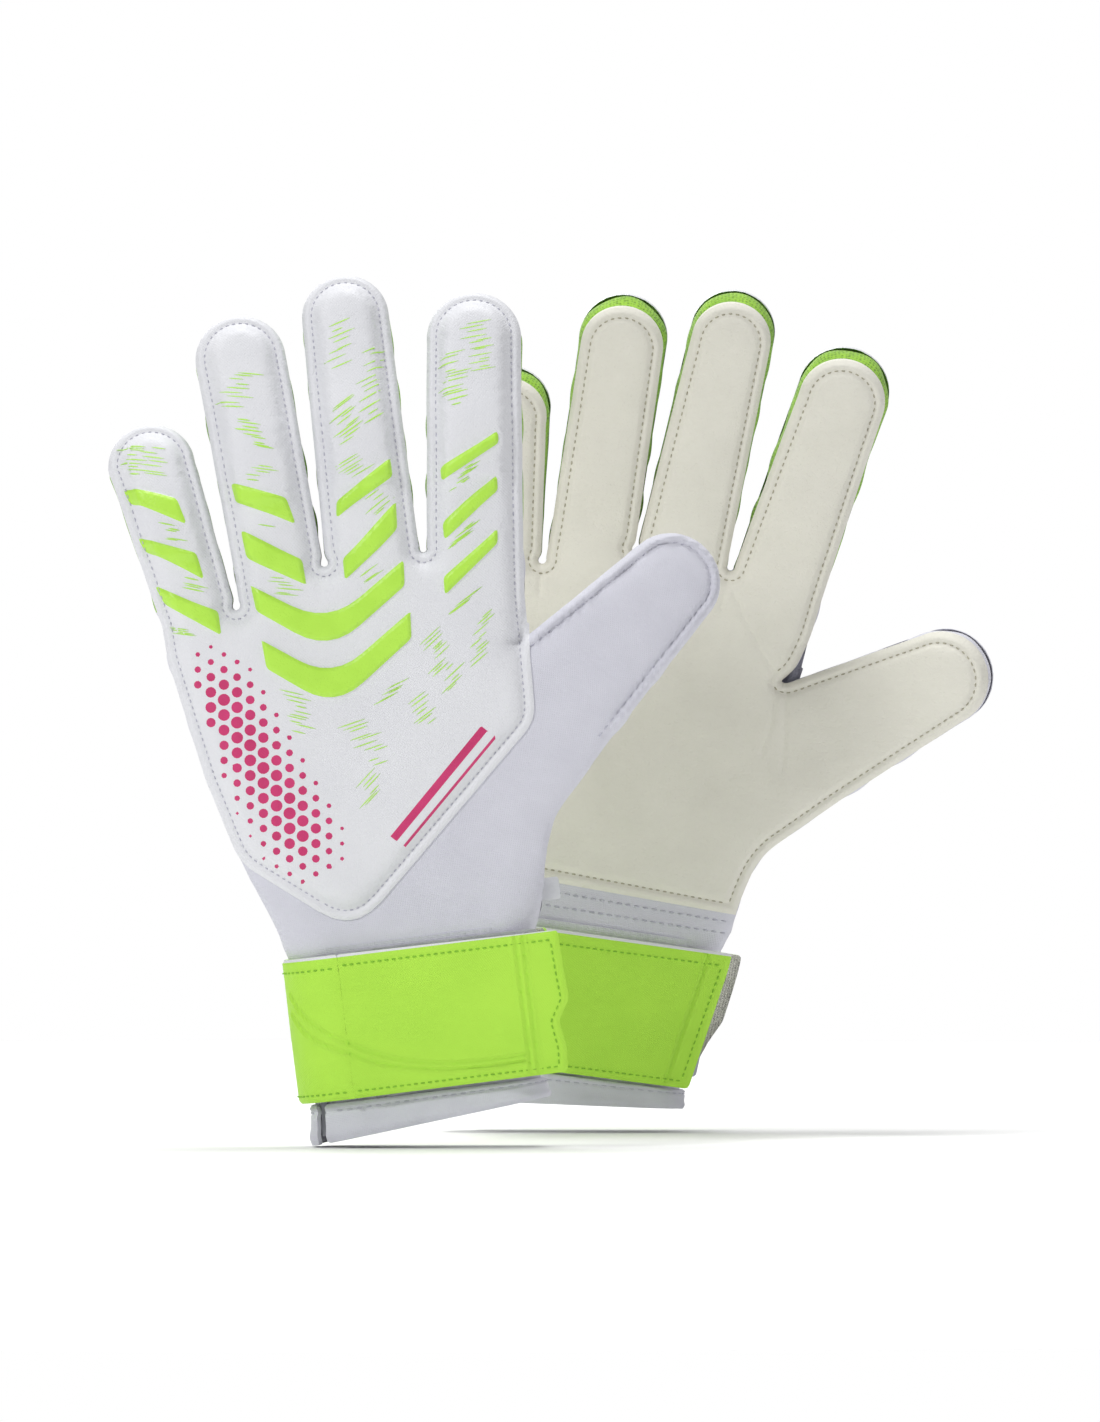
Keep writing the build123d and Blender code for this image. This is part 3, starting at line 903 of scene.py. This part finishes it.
def cut_lines(names):
    lines = []
    for name in names:
        digit = BY_NAME[name]
        for y in (0.0, digit.shape.first - SPLIT):
            centre, half = digit.centre(y), digit.half(y) + 1.2
            if y == 0.0:
                half -= 1.4
            lines.append(np.array([digit.hand(centre - half, y), digit.hand(centre + half, y)]))
    return lines


# ---- the belt that cuff and strap are wrapped round ----
def belt(hand, left, right, radius, middle, closed=False):
    """Places s, v and h: s runs from the back at left, round the little finger's side, along the palm
    side and round the thumb's; h is the height above the belt's line. A negative s is on the back."""
    arc, run = math.pi * radius, right - left

    def place(flat):
        s, v, h = flat[:, 0], flat[:, 1], flat[:, 2]
        if closed:
            s = s % (2 * (arc + run))
        r = radius + h
        a, b = s / radius, (s - arc - run) / radius
        steps = [s < 0, s < arc, s < arc + run, s < 2 * arc + run]
        u = [left - s, left - r * np.sin(a), left + s - arc, right + r * np.sin(b)]
        w = [middle + r, middle + r * np.cos(a), middle - r, middle - r * np.cos(b)]
        u = np.select(steps, u, right - (s - 2 * arc - run))
        w = np.select(steps, w, middle + r)
        if closed:
            v = v + HEM_RISE * np.clip(u / CUFF_WIDTH + 0.5, 0, 1) * np.clip(1 - v / HEM_TOP, 0, 1.2)
        return hand.world(np.column_stack([u, v, w]))

    return place


STRAP_MIDDLE_R = STRAP_IN + STRAP_THICK / 2
CUFF_R = CUFF_DEPTH / 2
MARK_HALF = 0.75  # from an embossed line's middle to its raised sides


def strap_surface(outline, marks):
    """The strap's outer face over its belt: pillowed edges, and embossed grooves along the marks."""
    edge = Spots(outline[np.abs(outline[:, 0]) > 0.5])
    lines = [Nearest(mark) for mark in marks]

    def surface(points):
        d = edge.distance(points)
        rise = STRAP_THICK / 2 - 0.7 * (1 - smooth(d / 1.1)) + 0.12 * ripple(points, 18, 17)
        for line in lines:
            off = line.distance(points)
            rise += EMBOSS_RISE * bell(off - MARK_HALF, 0.35) - EMBOSS_SINK * bell(off, 0.4)
        return rise

    return surface


def curve(*spots):
    """A smooth line through three spots."""
    a, b, c = (np.array(s, float) for s in spots)
    knot = 2 * b - (a + c) / 2
    t = np.linspace(0, 1, 24)[:, None]
    return (1 - t) ** 2 * a + 2 * t * (1 - t) * knot + t * t * c


# ---- materials ----
class Finish:
    """A procedural material. Its textures are placed by the cloth attribute, in millimetres."""

    COLOUR_A, COLOUR_B, COLOUR_OUT = 6, 7, 2  # a Mix node's colour sockets

    def __init__(self, name, light, dark, rough, specular, blotch, sheen=0.0, coat=0.0):
        self.material = bpy.data.materials.new(name)
        self.material.use_nodes = True
        self.nodes, self.links = self.material.node_tree.nodes, self.material.node_tree.links
        self.shader = self.nodes["Principled BSDF"]
        self.fill_in(self.shader, {"Specular IOR Level": specular, "Sheen Weight": sheen})
        self.fill_in(self.shader, {"Sheen Roughness": 0.5, "Coat Weight": coat, "Coat Roughness": 0.35})
        place = self.node("ShaderNodeAttribute", {})
        place.attribute_name = "cloth"
        self.place = place.outputs["Vector"]
        self.dark, self.normal = dark, None
        noise = self.noise(blotch, 4.0)
        self.colour = self.mix(self.ramp(noise, 0.2, 0.8), dark, light)
        worn = self.scaled(noise, 0.22, rough - 0.11)
        self.fill_in(self.shader, {"Base Color": self.colour, "Roughness": worn})

    def fill_in(self, node, values):
        """Sets a node's inputs, or links them where the value is another node's output."""
        for name, value in values.items():
            if isinstance(value, bpy.types.NodeSocket):
                self.links.new(value, node.inputs[name])
            else:
                node.inputs[name].default_value = value

    def node(self, kind, values):
        node = self.nodes.new(kind)
        self.fill_in(node, values)
        return node

    def noise(self, size, detail=2.0):
        values = {"Scale": 1 / size, "Detail": detail, "Vector": self.place}
        return self.node("ShaderNodeTexNoise", values).outputs["Fac"]

    def ramp(self, value, low, high):
        node = self.node("ShaderNodeMapRange", {"From Min": low, "From Max": high, "Value": value})
        node.interpolation_type = "SMOOTHSTEP"
        return node.outputs["Result"]

    def scaled(self, value, factor, offset):
        node = self.node("ShaderNodeMath", {0: value, 1: factor, 2: offset})
        node.operation = "MULTIPLY_ADD"
        return node.outputs[0]

    def mix(self, factor, a, b):
        a, b = ((*c, 1.0) if isinstance(c, tuple) else c for c in (a, b))
        node = self.node("ShaderNodeMix", {})
        node.data_type = "RGBA"
        self.fill_in(node, {"Factor": factor, self.COLOUR_A: a, self.COLOUR_B: b})
        return node.outputs[self.COLOUR_OUT]

    def bump(self, height, depth):
        """Raises the surface by the height, up to a depth in millimetres."""
        values = {"Distance": depth * MM, "Strength": 1.0, "Height": height}
        if self.normal:
            values["Normal"] = self.normal
        self.normal = self.node("ShaderNodeBump", values).outputs["Normal"]
        self.fill_in(self.shader, {"Normal": self.normal})

    def paint_hollow_shade(self, height, share, colour=None):
        """Paints shade into the low parts of a texture: darkens its hollows."""
        factor = self.scaled(height, share, 1 - share)
        self.colour = self.mix(factor, colour or self.dark, self.colour)
        self.fill_in(self.shader, {"Base Color": self.colour})

    def grain(self, size, depth, share=0.0, detail=3.0):
        value = self.noise(size, detail)
        self.bump(value, depth)
        # a share paints shade into the grain's hollows
        if share:
            self.paint_hollow_shade(self.ramp(value, 0.3, 0.6), share)
        return self

    def cells(self, size, depth, share=0.0, colour=None, randomness=1.0):
        values = {"Scale": 1 / size, "Randomness": randomness, "Vector": self.place}
        distance = self.node("ShaderNodeTexVoronoi", values).outputs["Distance"]
        value = self.ramp(distance, 0.08, 0.5)
        self.bump(value, depth)
        # a share paints shade into the cells' hollows, in the colour given or the dark one
        if share:
            self.paint_hollow_shade(value, share, colour)
        return self

    def weave(self, pitch, depth, share=0.0, turn=0.0):
        """Two crossing sets of threads."""
        values = {"Rotation": (0, 0, math.radians(turn)), "Vector": self.place}
        place = self.node("ShaderNodeMapping", values).outputs["Vector"]
        sets = []
        for direction in ("X", "Y"):
            values = {"Scale": 0.314 / pitch, "Distortion": 0.5, "Detail": 1.0, "Vector": place}
            node = self.node("ShaderNodeTexWave", values)
            node.bands_direction = direction
            sets.append(node.outputs["Fac"])
        both = self.node("ShaderNodeMath", dict(enumerate(sets)))
        both.operation = "MULTIPLY"
        self.bump(both.outputs[0], depth)
        # a share paints shade into the low parts between the threads
        if share:
            self.paint_hollow_shade(both.outputs[0], share)
        return self


# grain, cells and weave add bumps; a share also paints shade into the bumps' hollows
# name, light and dark colour, roughness, specular, size of the shading's patches, sheen
WHITE = Finish("white_back", (0.735, 0.74, 0.77), (0.70, 0.705, 0.74), 0.5, 0.4, 22.0)
WHITE.weave(0.62, 0.05, 0.05, 45).cells(1.1, 0.05).grain(5.0, 0.16)
LATEX = Finish("cream_latex", (0.74, 0.725, 0.655), (0.70, 0.685, 0.615), 0.9, 0.25, 16.0)
LATEX.grain(0.55, 0.11, 0.14).cells(0.9, 0.05).grain(7.0, 0.35)
LILAC = Finish("lilac_fabric", (0.64, 0.64, 0.71), (0.60, 0.60, 0.67), 0.85, 0.3, 12.0, 0.25)
LILAC.weave(0.5, 0.07, 0.16).grain(4.5, 0.25)
MESH = Finish("green_mesh", (0.34, 0.62, 0.045), (0.19, 0.40, 0.025), 0.75, 0.35, 9.0, 0.15)
# the near-black green paints shade into the mesh's holes
MESH.cells(1.15, 0.22, 0.55, (0.05, 0.14, 0.01), 0.35).grain(2.5, 0.2)
STRAP = Finish("neon_strap", (0.45, 0.80, 0.065), (0.41, 0.75, 0.055), 0.55, 0.4, 20.0)
STRAP.weave(0.55, 0.07, 0.12, 30).grain(4.0, 0.14)
NEON = Finish("neon_print", (0.47, 0.82, 0.075), (0.43, 0.77, 0.065), 0.42, 0.5, 9.0, coat=0.1)
NEON.cells(0.7, 0.04).grain(2.2, 0.1)
PINK = Finish("pink_print", (0.62, 0.035, 0.17), (0.52, 0.025, 0.13), 0.45, 0.5, 8.0)
PINK.weave(0.62, 0.05, 0.1, 45).grain(2.0, 0.05)
GREEN_INK = Finish("green_print", (0.50, 0.85, 0.12), (0.42, 0.76, 0.09), 0.5, 0.4, 5.0)
GREEN_INK.grain(0.8, 0.03)
HOOKS = Finish("hook_tape", (0.76, 0.76, 0.67), (0.64, 0.64, 0.55), 0.6, 0.4, 8.0)
HOOKS.cells(0.8, 0.3, 0.3, None, 0.25)
FUZZ = Finish("loop_tape", (0.60, 0.60, 0.66), (0.44, 0.44, 0.50), 0.95, 0.2, 6.0, 0.5)
FUZZ.grain(0.5, 0.4, 0.4, 6.0)
CUFF = Finish("cuff_knit", (0.64, 0.64, 0.71), (0.58, 0.58, 0.65), 0.85, 0.25, 10.0, 0.3)
CUFF.weave(0.5, 0.08, 0.16).grain(4.0, 0.3)
LINING = Finish("lining", (0.50, 0.50, 0.56), (0.42, 0.42, 0.48), 0.9, 0.2, 8.0, 0.2)
LINING.weave(0.9, 0.1, 0.3)
LABEL_CLOTH = Finish("side_label", (0.80, 0.81, 0.84), (0.70, 0.71, 0.75), 0.45, 0.5, 6.0, 0.2)
LABEL_CLOTH.weave(0.4, 0.05, 0.15)
THREAD = Finish("thread", (0.55, 0.55, 0.62), (0.40, 0.40, 0.48), 0.7, 0.3, 3.0)
THREAD.grain(0.35, 0.08, 0.3)
PALE_THREAD = Finish("pale_thread", (0.47, 0.45, 0.35), (0.36, 0.34, 0.26), 0.75, 0.3, 3.0)
PALE_THREAD.grain(0.35, 0.08, 0.3)
GREEN_THREAD = Finish("green_thread", (0.26, 0.56, 0.035), (0.19, 0.45, 0.03), 0.65, 0.3, 3.0)
GREEN_THREAD.grain(0.35, 0.08, 0.3)


# ---- layers, shared by both gloves ----
# the places of the materials: the outer face's own, the seam's thread, the lining
FACE, SEAM, INSIDE = 0, 1, 2
PANEL_BARS, PANEL_DOTS, PANEL_SEAM, PANEL_STROKES, PANEL_INSIDE = 1, 2, 3, 4, 5
STRAP_EDGE, STRAP_SEAM, STRAP_INSIDE = 1, 2, 3


def hatched(layer, line, degrees, count, rng):
    """Short printed strokes scattered along a line, off the raised bars."""
    line = np.array(line)
    run = lengths(line)
    direction = math.radians(degrees)
    along = np.array((math.cos(direction), math.sin(direction)))
    across = np.array((-along[1], along[0]))
    for k in range(count):
        at = run[-1] * (k + rng.uniform(0.2, 0.8)) / count
        spot = np.array([np.interp(at, run, line[:, j]) for j in range(2)])
        spot = spot + across * rng.uniform(-0.5, 0.5) + along * rng.uniform(-1.8, 1.8)
        half = along * rng.uniform(1.4, 4.2)
        stroke = np.array([spot + half * t for t in np.linspace(-1, 1, 7)])
        clear = BAR_SPOTS.distance(stroke).min() > 0.6 and not in_bars(stroke).any()
        if clear and inside(stroke, PANEL_LINE).all() and PANEL_EDGE.distance(stroke).min() > 1.0:
            dash(layer, stroke[0], stroke[-1], 0.26 + rng.uniform(0, 0.1), PANEL_STROKES)


def make_panel():
    loops, mats = [], []
    for bar in BARS:
        loops += [bar, offset_line(bar, BAR_BEVEL)]
        mats += [PANEL_BARS, FACE]
    pink = halftone() + [strip_of(a, b, width) for a, b, width in PINSTRIPES]
    loops += pink
    mats += [PANEL_DOTS] * len(pink)
    cuts = cut_lines(FINGERS)
    layer = Layer(PANEL_LINE, panel_surface, PANEL_THICK, features=loops, mats=mats, cuts=cuts)
    sew(layer, offset_line(PANEL_LINE, SEAM_IN), PANEL_SEAM, 1.9, 1.25, 0.17)
    rng = np.random.default_rng(31)
    for line, degrees, count in HATCHES:
        hatched(layer, line, degrees, count, rng)
    return layer


def make_palm():
    folds = [np.array(line) for line, _ in CREASES]
    layer = Layer(PALM_LINE, latex_surface, LATEX_THICK, -1, cuts=cut_lines(SHAPES) + folds)
    sew(layer, offset_line(PALM_LINE, LATEX_SEAM_IN), SEAM, 2.1, 1.4, 0.2)
    return layer


def make_fabric():
    layer = Layer(FABRIC_LINE, fabric_surface, FABRIC_THICK, cuts=cut_lines(["thumb"]))
    thumb_edge = offset_line(FABRIC_LINE, THUMB_SEAM_IN)
    thumb_edge = thumb_edge[THUMB.local(thumb_edge)[:, 1] > -2]
    sew(layer, thumb_edge, SEAM, 2.5, 1.7, 0.2)
    return layer


BAND_SEAMS = (57.4, 60.8)


def make_band():
    thumb_side = [(39.6, 64.2), (38.6, 58.0), (35.0, 50.0), (33.2, 44.0)]
    outline = np.array([(-33.2, 44.0), (-34.6, 52.0), (-37.8, 64.2), *thumb_side])
    layer = Layer(outline[::-1], band_surface, 1.6, -1)
    for v in BAND_SEAMS:
        row = np.column_stack([np.linspace(-35.5, 37.5, 200), np.full(200, v)])
        sew(layer, row, SEAM, 2.6, 1.8, 0.22)
    return layer


def beside(line, off):
    """The line, moved sideways."""
    along = np.gradient(line, axis=0)
    along /= np.linalg.norm(along, axis=1)[:, None]
    return line + off * np.column_stack([-along[:, 1], along[:, 0]])


def make_strap(outline, marks, seams):
    top = STRAP_TOP - 0.8
    low, high = outline[:, 0].min() - 2, outline[:, 0].max() + 2
    edging = np.array([(low, top), (high, top), (high, STRAP_TOP + 2), (low, STRAP_TOP + 2)])
    cuts = [beside(mark, off) for mark in marks for off in (-MARK_HALF, 0.0, MARK_HALF)]
    surface = strap_surface(outline, marks)
    layer = Layer(outline, surface, STRAP_THICK - 0.2, 1, True, [edging], [STRAP_EDGE], cuts)
    for line in seams:
        sew(layer, resample(line, 0.5), STRAP_SEAM, 2.0, 1.35, 0.2)
    return layer


def flap_outline(name):
    end = [(STRAP_TURN - u, v, 1.2) for u, v in FLAP_END[name]]
    return resample(round_corners([(0.0, STRAP_LOW), (0.0, STRAP_TOP), *end]), 0.8, closed=True)


WRAP_END = math.pi * STRAP_MIDDLE_R + STRAP_START - STRAP_TURN


def wrap_outline():
    far, top = WRAP_END, WRAP_END + STRAP_SLANT
    corners = [(-0.3, STRAP_LOW), (far, STRAP_LOW, 1), (top, STRAP_TOP, 1), (-0.3, STRAP_TOP)]
    return resample(round_corners(corners), 0.8, closed=True)


def rectangle(left, low, right, top, corner=1.5):
    corners = [(left, low), (right, low), (right, top), (left, top)]
    return round_corners([(*c, corner) for c in corners], 5)


def on_flap(line):
    """A line on the back, in u and v, in the strap's s and v."""
    return np.array([(STRAP_TURN - u, v) for u, v in line])


MARK_LOW, MARK_TOP = 12.0, 50.5
FLAP_MARKS = [
    on_flap([(30.0, MARK_LOW), (30.0, MARK_TOP)]),
    on_flap([(32.2, MARK_LOW), (32.2, MARK_TOP)]),
    on_flap(curve((-20.6, 26.6), (0.0, 18.4), (28.6, 17.0))),
    on_flap(curve((-20.6, 23.6), (0.0, 16.4), (28.6, 15.2))),
]
WRAP_MARKS = [
    np.array([(WRAP_END - 7.0, MARK_LOW), (WRAP_END - 7.0 + STRAP_SLANT, MARK_TOP)]),
    curve((0.4, 26.9), (9.0, 33.0), (17.0, 42.0)),
    curve((0.4, 23.7), (9.0, 28.6), (17.0, 36.0)),
]
SEAM_LOW = 12.7
WRAP_SEAMS = [
    [(1.0, SEAM_LOW), (WRAP_END - 2.5, SEAM_LOW)],
    [(1.0, 48.0), (WRAP_END + STRAP_SLANT - 2.8, 48.0)],
    [(WRAP_END - 2.4, 13.5), (WRAP_END - 2.7 + STRAP_SLANT, 47.5)],
]


def flap_seams(end):
    """The flap's seams: along its lower edge, round its end and along its upper edge."""
    ends = [(u - 2.4, np.clip(v, 13.0, 48.0)) for u, v in end]
    rows = ((ends[-1][0], SEAM_LOW), (ends[0][0], 48.6))
    low, top = (on_flap([(-20.0, v), (far, v)]) for far, v in rows)
    return [low, on_flap(ends), top]


def flat_height(value, size=9.0, swell=0.1):
    return lambda points: value + swell * ripple(points, size, 19)


LOOP_LENGTH = 2 * (math.pi * CUFF_R + CUFF_WIDTH - CUFF_DEPTH)
SLIT_AT = CUFF_R * math.acos((SLIT_MID - CUFF_MID) / CUFF_R)


def sleeve_height(points):
    """The cuff's knit: upright ribs, drawn in a little half way down."""
    ribs = 0.15 * np.sin(points[:, 0] * 2 * math.pi / 2.6) * (points[:, 1] > HEM_TOP)
    return ribs - 0.5 * bell(points[:, 1] - 12, 8) + 0.2 * ripple(points, 15, 23) - 0.2


def hem_height(points):
    """The folded hem: thick at its lower edge, with a sunk seam near its top."""
    v = points[:, 1]
    roll = 0.7 * bell(v - 0.6, 2.2) - 0.5 * bell(v - 7.6, 0.7) - 0.7 * smooth((v - 9.0) / 0.9)
    return 1.35 + roll + 0.28 * ripple(points, 8, 29)


def make_sleeve():
    start, stop = SLIT_AT + SLIT / 2, SLIT_AT - SLIT / 2 + LOOP_LENGTH
    outline = round_corners([(start, 0.6), (stop, 0.6), (stop, CUFF_TOP), (start, CUFF_TOP)])
    return Layer(outline, sleeve_height, CUFF_WALL, 1, True)


def make_hem():
    start, stop = SLIT_AT + SLIT / 2 - 1.0, SLIT_AT - SLIT / 2 + LOOP_LENGTH + 1.0
    outline = rectangle(start, HEM_LOW, stop, HEM_TOP, 1.2)
    layer = Layer(outline, hem_height, 1.3, 1, True)
    row = np.column_stack([np.linspace(start + 2, stop - 2, 700), np.full(700, HEM_TOP - 2.2)])
    sew(layer, row, SEAM, 2.7, 1.9, 0.22)
    return layer


PANEL, PALM, FABRIC, BAND = make_panel(), make_palm(), make_fabric(), make_band()
FLAPS = {n: make_strap(flap_outline(n), FLAP_MARKS, flap_seams(end)) for n, end in FLAP_END.items()}
WRAP = make_strap(wrap_outline(), WRAP_MARKS, WRAP_SEAMS)
SLEEVE, HEM = make_sleeve(), make_hem()
HOOK = Layer(rectangle(5.5, 15.0, 36.0, 47.0), flat_height(25.3), 0.9)
LOOP = Layer(rectangle(-16.0, 13.5, 36.5, 52.3), flat_height(24.2), 0.9)
LABEL = Layer(rectangle(36.5, 59.6, 44.3, 66.0, 0.6), flat_height(11.2, 5, 0.15), 0.7)
GLOVE_WALL = Wall(np.vstack([GLOVE_LINE, GLOVE_LINE[:1]]))


def bend(piece, hand, spots):
    """Bakes a piece's placement into its mesh. It places two flat spots in the row frame but doesn't
    use them; nothing makes the piece bend.
    """
    ends = hand.world(spots)
    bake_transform(piece)


WRIST_SPOTS = [(0, WRIST, CUFF_MID), (0, 61.0, CUFF_MID)]


def follow(piece, hand, code):
    """Passes a piece of the hand, of a digit's first segment or of its end to bend, with two spots
    along its stretch.
    """
    if code < 0:
        bend(piece, hand, WRIST_SPOTS)
        return
    digit = DIGITS[code // 2]
    first = digit.shape.first
    at = (first - SPLIT, first + SPLIT + 1) if code % 2 else (-1.0, KNUCKLE_BEND)
    spots = [(*digit.hand(digit.centre(y), y), CUFF_MID) for y in at]
    bend(piece, hand, spots)


def node_names(hand, code, layer):
    """The CAD nodes that a piece stands for."""
    if code < 0:
        node = {"back": "backhand_panel", "palm": "palm_latex"}.get(layer, "back_fabric")
        return f"{hand.name}_{node}"
    digit = DIGITS[code // 2].name
    if code % 2:
        return f"{hand.name}_{digit}_tip"
    if digit == "thumb" and layer != "palm":
        return f"{hand.name}_thumb_back"
    return f"{hand.name}_{digit}_{'gusset' if layer == 'side' else layer}"


def place_layer(hand, made, codes_of, layer, finishes):
    """Places a layer's pieces. The finishes are for one with a given code."""
    for name, build in made.items():
        code = codes_of[name]
        piece = build.make(name, finishes(code))
        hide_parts(node_names(hand, code, layer))
        follow(piece, hand, code)


def part_names(hand, layer, hand_name, digits):
    """The pieces of a layer: a name for the hand's and for each segment's, and their codes."""
    names = {f"{hand.name}_{hand_name}": -1}
    for name in digits:
        i = list(SHAPES).index(name)
        names[f"{hand.name}_{name}_base_{layer}"] = 2 * i
        names[f"{hand.name}_{name}_end_{layer}"] = 2 * i + 1
    return names


def anywhere(points):
    return np.ones(len(points), bool)


HAND, THUMB_CODES, FINGER_CODES = -1, (8, 9), range(8)


def make_glove(hand):
    names = part_names(hand, "back", "back_panel", FINGERS)
    tests = {n: within(c) if c >= 0 else within(HAND, *THUMB_CODES) for n, c in names.items()}
    inks = lambda code: [WHITE, NEON, PINK, THREAD, GREEN_INK, LINING if code < 0 else MESH]
    made = PANEL.pieces(hand, tests, PANEL_INSIDE)
    place_layer(hand, made, names, "back", inks)

    names = part_names(hand, "palm", "palm", SHAPES)
    tests = {n: within(c) for n, c in names.items()}
    foams = lambda code: [LATEX, PALE_THREAD, LINING]
    place_layer(hand, PALM.pieces(hand, tests, INSIDE), names, "palm", foams)

    names = part_names(hand, "fabric", "back_fabric", ["thumb"])
    tests = {n: within(c) if c >= 0 else within(HAND, *FINGER_CODES) for n, c in names.items()}
    cloths = lambda code: [LILAC, THREAD, LINING if code < 0 else LILAC]
    made = FABRIC.pieces(hand, tests, INSIDE)
    place_layer(hand, made, names, "fabric", cloths)

    for digits, finish, slot in ((FINGERS, MESH, "green_mesh"), (["thumb"], LILAC, "lilac_fabric")):
        names = part_names(hand, "side", "side", digits)
        if digits == ["thumb"]:
            names = {n: c for n, c in names.items() if c >= 0}
        tests = {n: within(c) for n, c in names.items()}
        sides = lambda code: [LILAC if code < 0 else finish]
        place_layer(hand, GLOVE_WALL.pieces(hand, tests), names, "side", sides)

    half = (CUFF_WIDTH - CUFF_DEPTH) / 2
    on_strap = belt(hand, STRAP_TURN, STRAP_START, STRAP_MIDDLE_R, STRAP_MID)
    on_cuff = belt(hand, -half, half, CUFF_R, CUFF_MID, closed=True)
    belts, knits = [STRAP, WHITE, GREEN_THREAD, HOOKS], [CUFF, THREAD, LINING]
    parts = [
        (BAND, "palm_band", [LILAC, THREAD, LINING], INSIDE, None, "lilac_fabric", "wrist"),
        (WRAP, "strap_wrap", belts, STRAP_INSIDE, on_strap, "neon_strap", "cuff"),
        (FLAPS[hand.name], "strap_flap", belts, STRAP_INSIDE, on_strap, "neon_strap", "turn"),
        (SLEEVE, "cuff_sleeve", knits, INSIDE, on_cuff, "lilac_fabric", "cuff"),
        (HEM, "cuff_hem", knits, INSIDE, on_cuff, "lilac_fabric", "cuff"),
        (HOOK, "hook_patch", [HOOKS], FACE, None, "hook_tape", "strap"),
        (LOOP, "loop_patch", [FUZZ], FACE, None, "loop_tape", "cuff"),
    ]
    if hand is LEFT:
        parts.append((LABEL, "side_label", [LABEL_CLOTH], FACE, None, "side_label", "hand"))
    for layer, node, finishes, inner, place, slot, body in parts:
        build = layer.pieces(hand, {node: anywhere}, inner, place)[node]
        piece = build.make(f"{hand.name}_{node}_cloth", finishes)
        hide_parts(f"{hand.name}_{node}")
        if body == "wrist":
            bend(piece, hand, WRIST_SPOTS)
        elif body == "turn":
            spots = [(STRAP_TURN, 30, 27), (STRAP_TURN + 10, 30, 27)]
            bend(piece, hand, spots)
        else:
            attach(piece, f"{hand.name}_{body}")


make_glove(LEFT)
make_glove(RIGHT)

# ---- floor, light and camera ----
VIEW_X, VIEW_Z, VIEW_BACK = 0.0336, 0.118, 3.6
LENS = 319.8
FLOOR, FLOOR_GAP = 1.15, 0.0004  # the pale floor's radius, and how far it lies below, in metres
FLOOR_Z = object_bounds()[0][2] - FLOOR_GAP


def make_floor():
    """A pale disc under the gloves, with its edge out of sight."""
    mesh = bpy.data.meshes.new("floor")
    angles = np.linspace(0, 2 * math.pi, 96, endpoint=False)
    ring = np.column_stack([FLOOR * np.cos(angles), FLOOR * np.sin(angles), np.full(96, FLOOR_Z)])
    mesh.from_pydata(ring.tolist(), [], [tuple(range(96))])
    material = bpy.data.materials.new("floor")
    material.use_nodes = True
    inputs = material.node_tree.nodes["Principled BSDF"].inputs
    inputs["Base Color"].default_value = (0.93, 0.93, 0.93, 1)
    inputs["Roughness"].default_value = 0.8
    inputs["Specular IOR Level"].default_value = 0.2
    mesh.materials.append(material)
    floor = bpy.data.objects.new("floor", mesh)
    bpy.context.scene.collection.objects.link(floor)


LIT_SPOT = Vector((0.02, 0.05, 0.11))


def add_light(name, place, size, power):
    lamp = bpy.data.lights.new(name, "AREA")
    lamp.shape, lamp.size, lamp.energy = "DISK", size, power
    light = bpy.data.objects.new(name, lamp)
    light.location = place
    light.rotation_euler = (LIT_SPOT - Vector(place)).to_track_quat("-Z", "Y").to_euler()
    bpy.context.scene.collection.objects.link(light)


make_floor()
add_light("key", (-1.2, -1.3, 1.4), 0.4, 19)
add_light("fill", (1.5, -1.6, 0.5), 1.0, 5)
add_light("top", (0.1, 0.3, 2.2), 1.0, 30)
add_light("rear", (-0.5, 1.9, 0.9), 1.2, 12)


def make_world():
    """Seen directly the studio is white; as a light it is dimmer, so that seams keep their shade."""
    world = bpy.data.worlds.new("studio")
    world.use_nodes = True
    nodes, links = world.node_tree.nodes, world.node_tree.links
    background = nodes["Background"]
    background.inputs["Color"].default_value = (1, 1, 1, 1)
    path, strength = nodes.new("ShaderNodeLightPath"), nodes.new("ShaderNodeMapRange")
    strength.inputs["To Min"].default_value = 0.36
    strength.inputs["To Max"].default_value = 1.0
    links.new(path.outputs["Is Camera Ray"], strength.inputs["Value"])
    links.new(strength.outputs["Result"], background.inputs["Strength"])
    bpy.context.scene.world = world


make_world()
bpy.context.scene.view_settings.view_transform = "Standard"

eye = bpy.data.cameras.new("eye")
eye.lens, eye.sensor_width = LENS, 36.0
camera = bpy.data.objects.new("eye", eye)
camera.location = (VIEW_X, -VIEW_BACK, VIEW_Z)
camera.rotation_euler = (math.radians(90), 0, 0)
eye.clip_end = 50
bpy.context.scene.collection.objects.link(camera)
bpy.context.scene.camera = camera
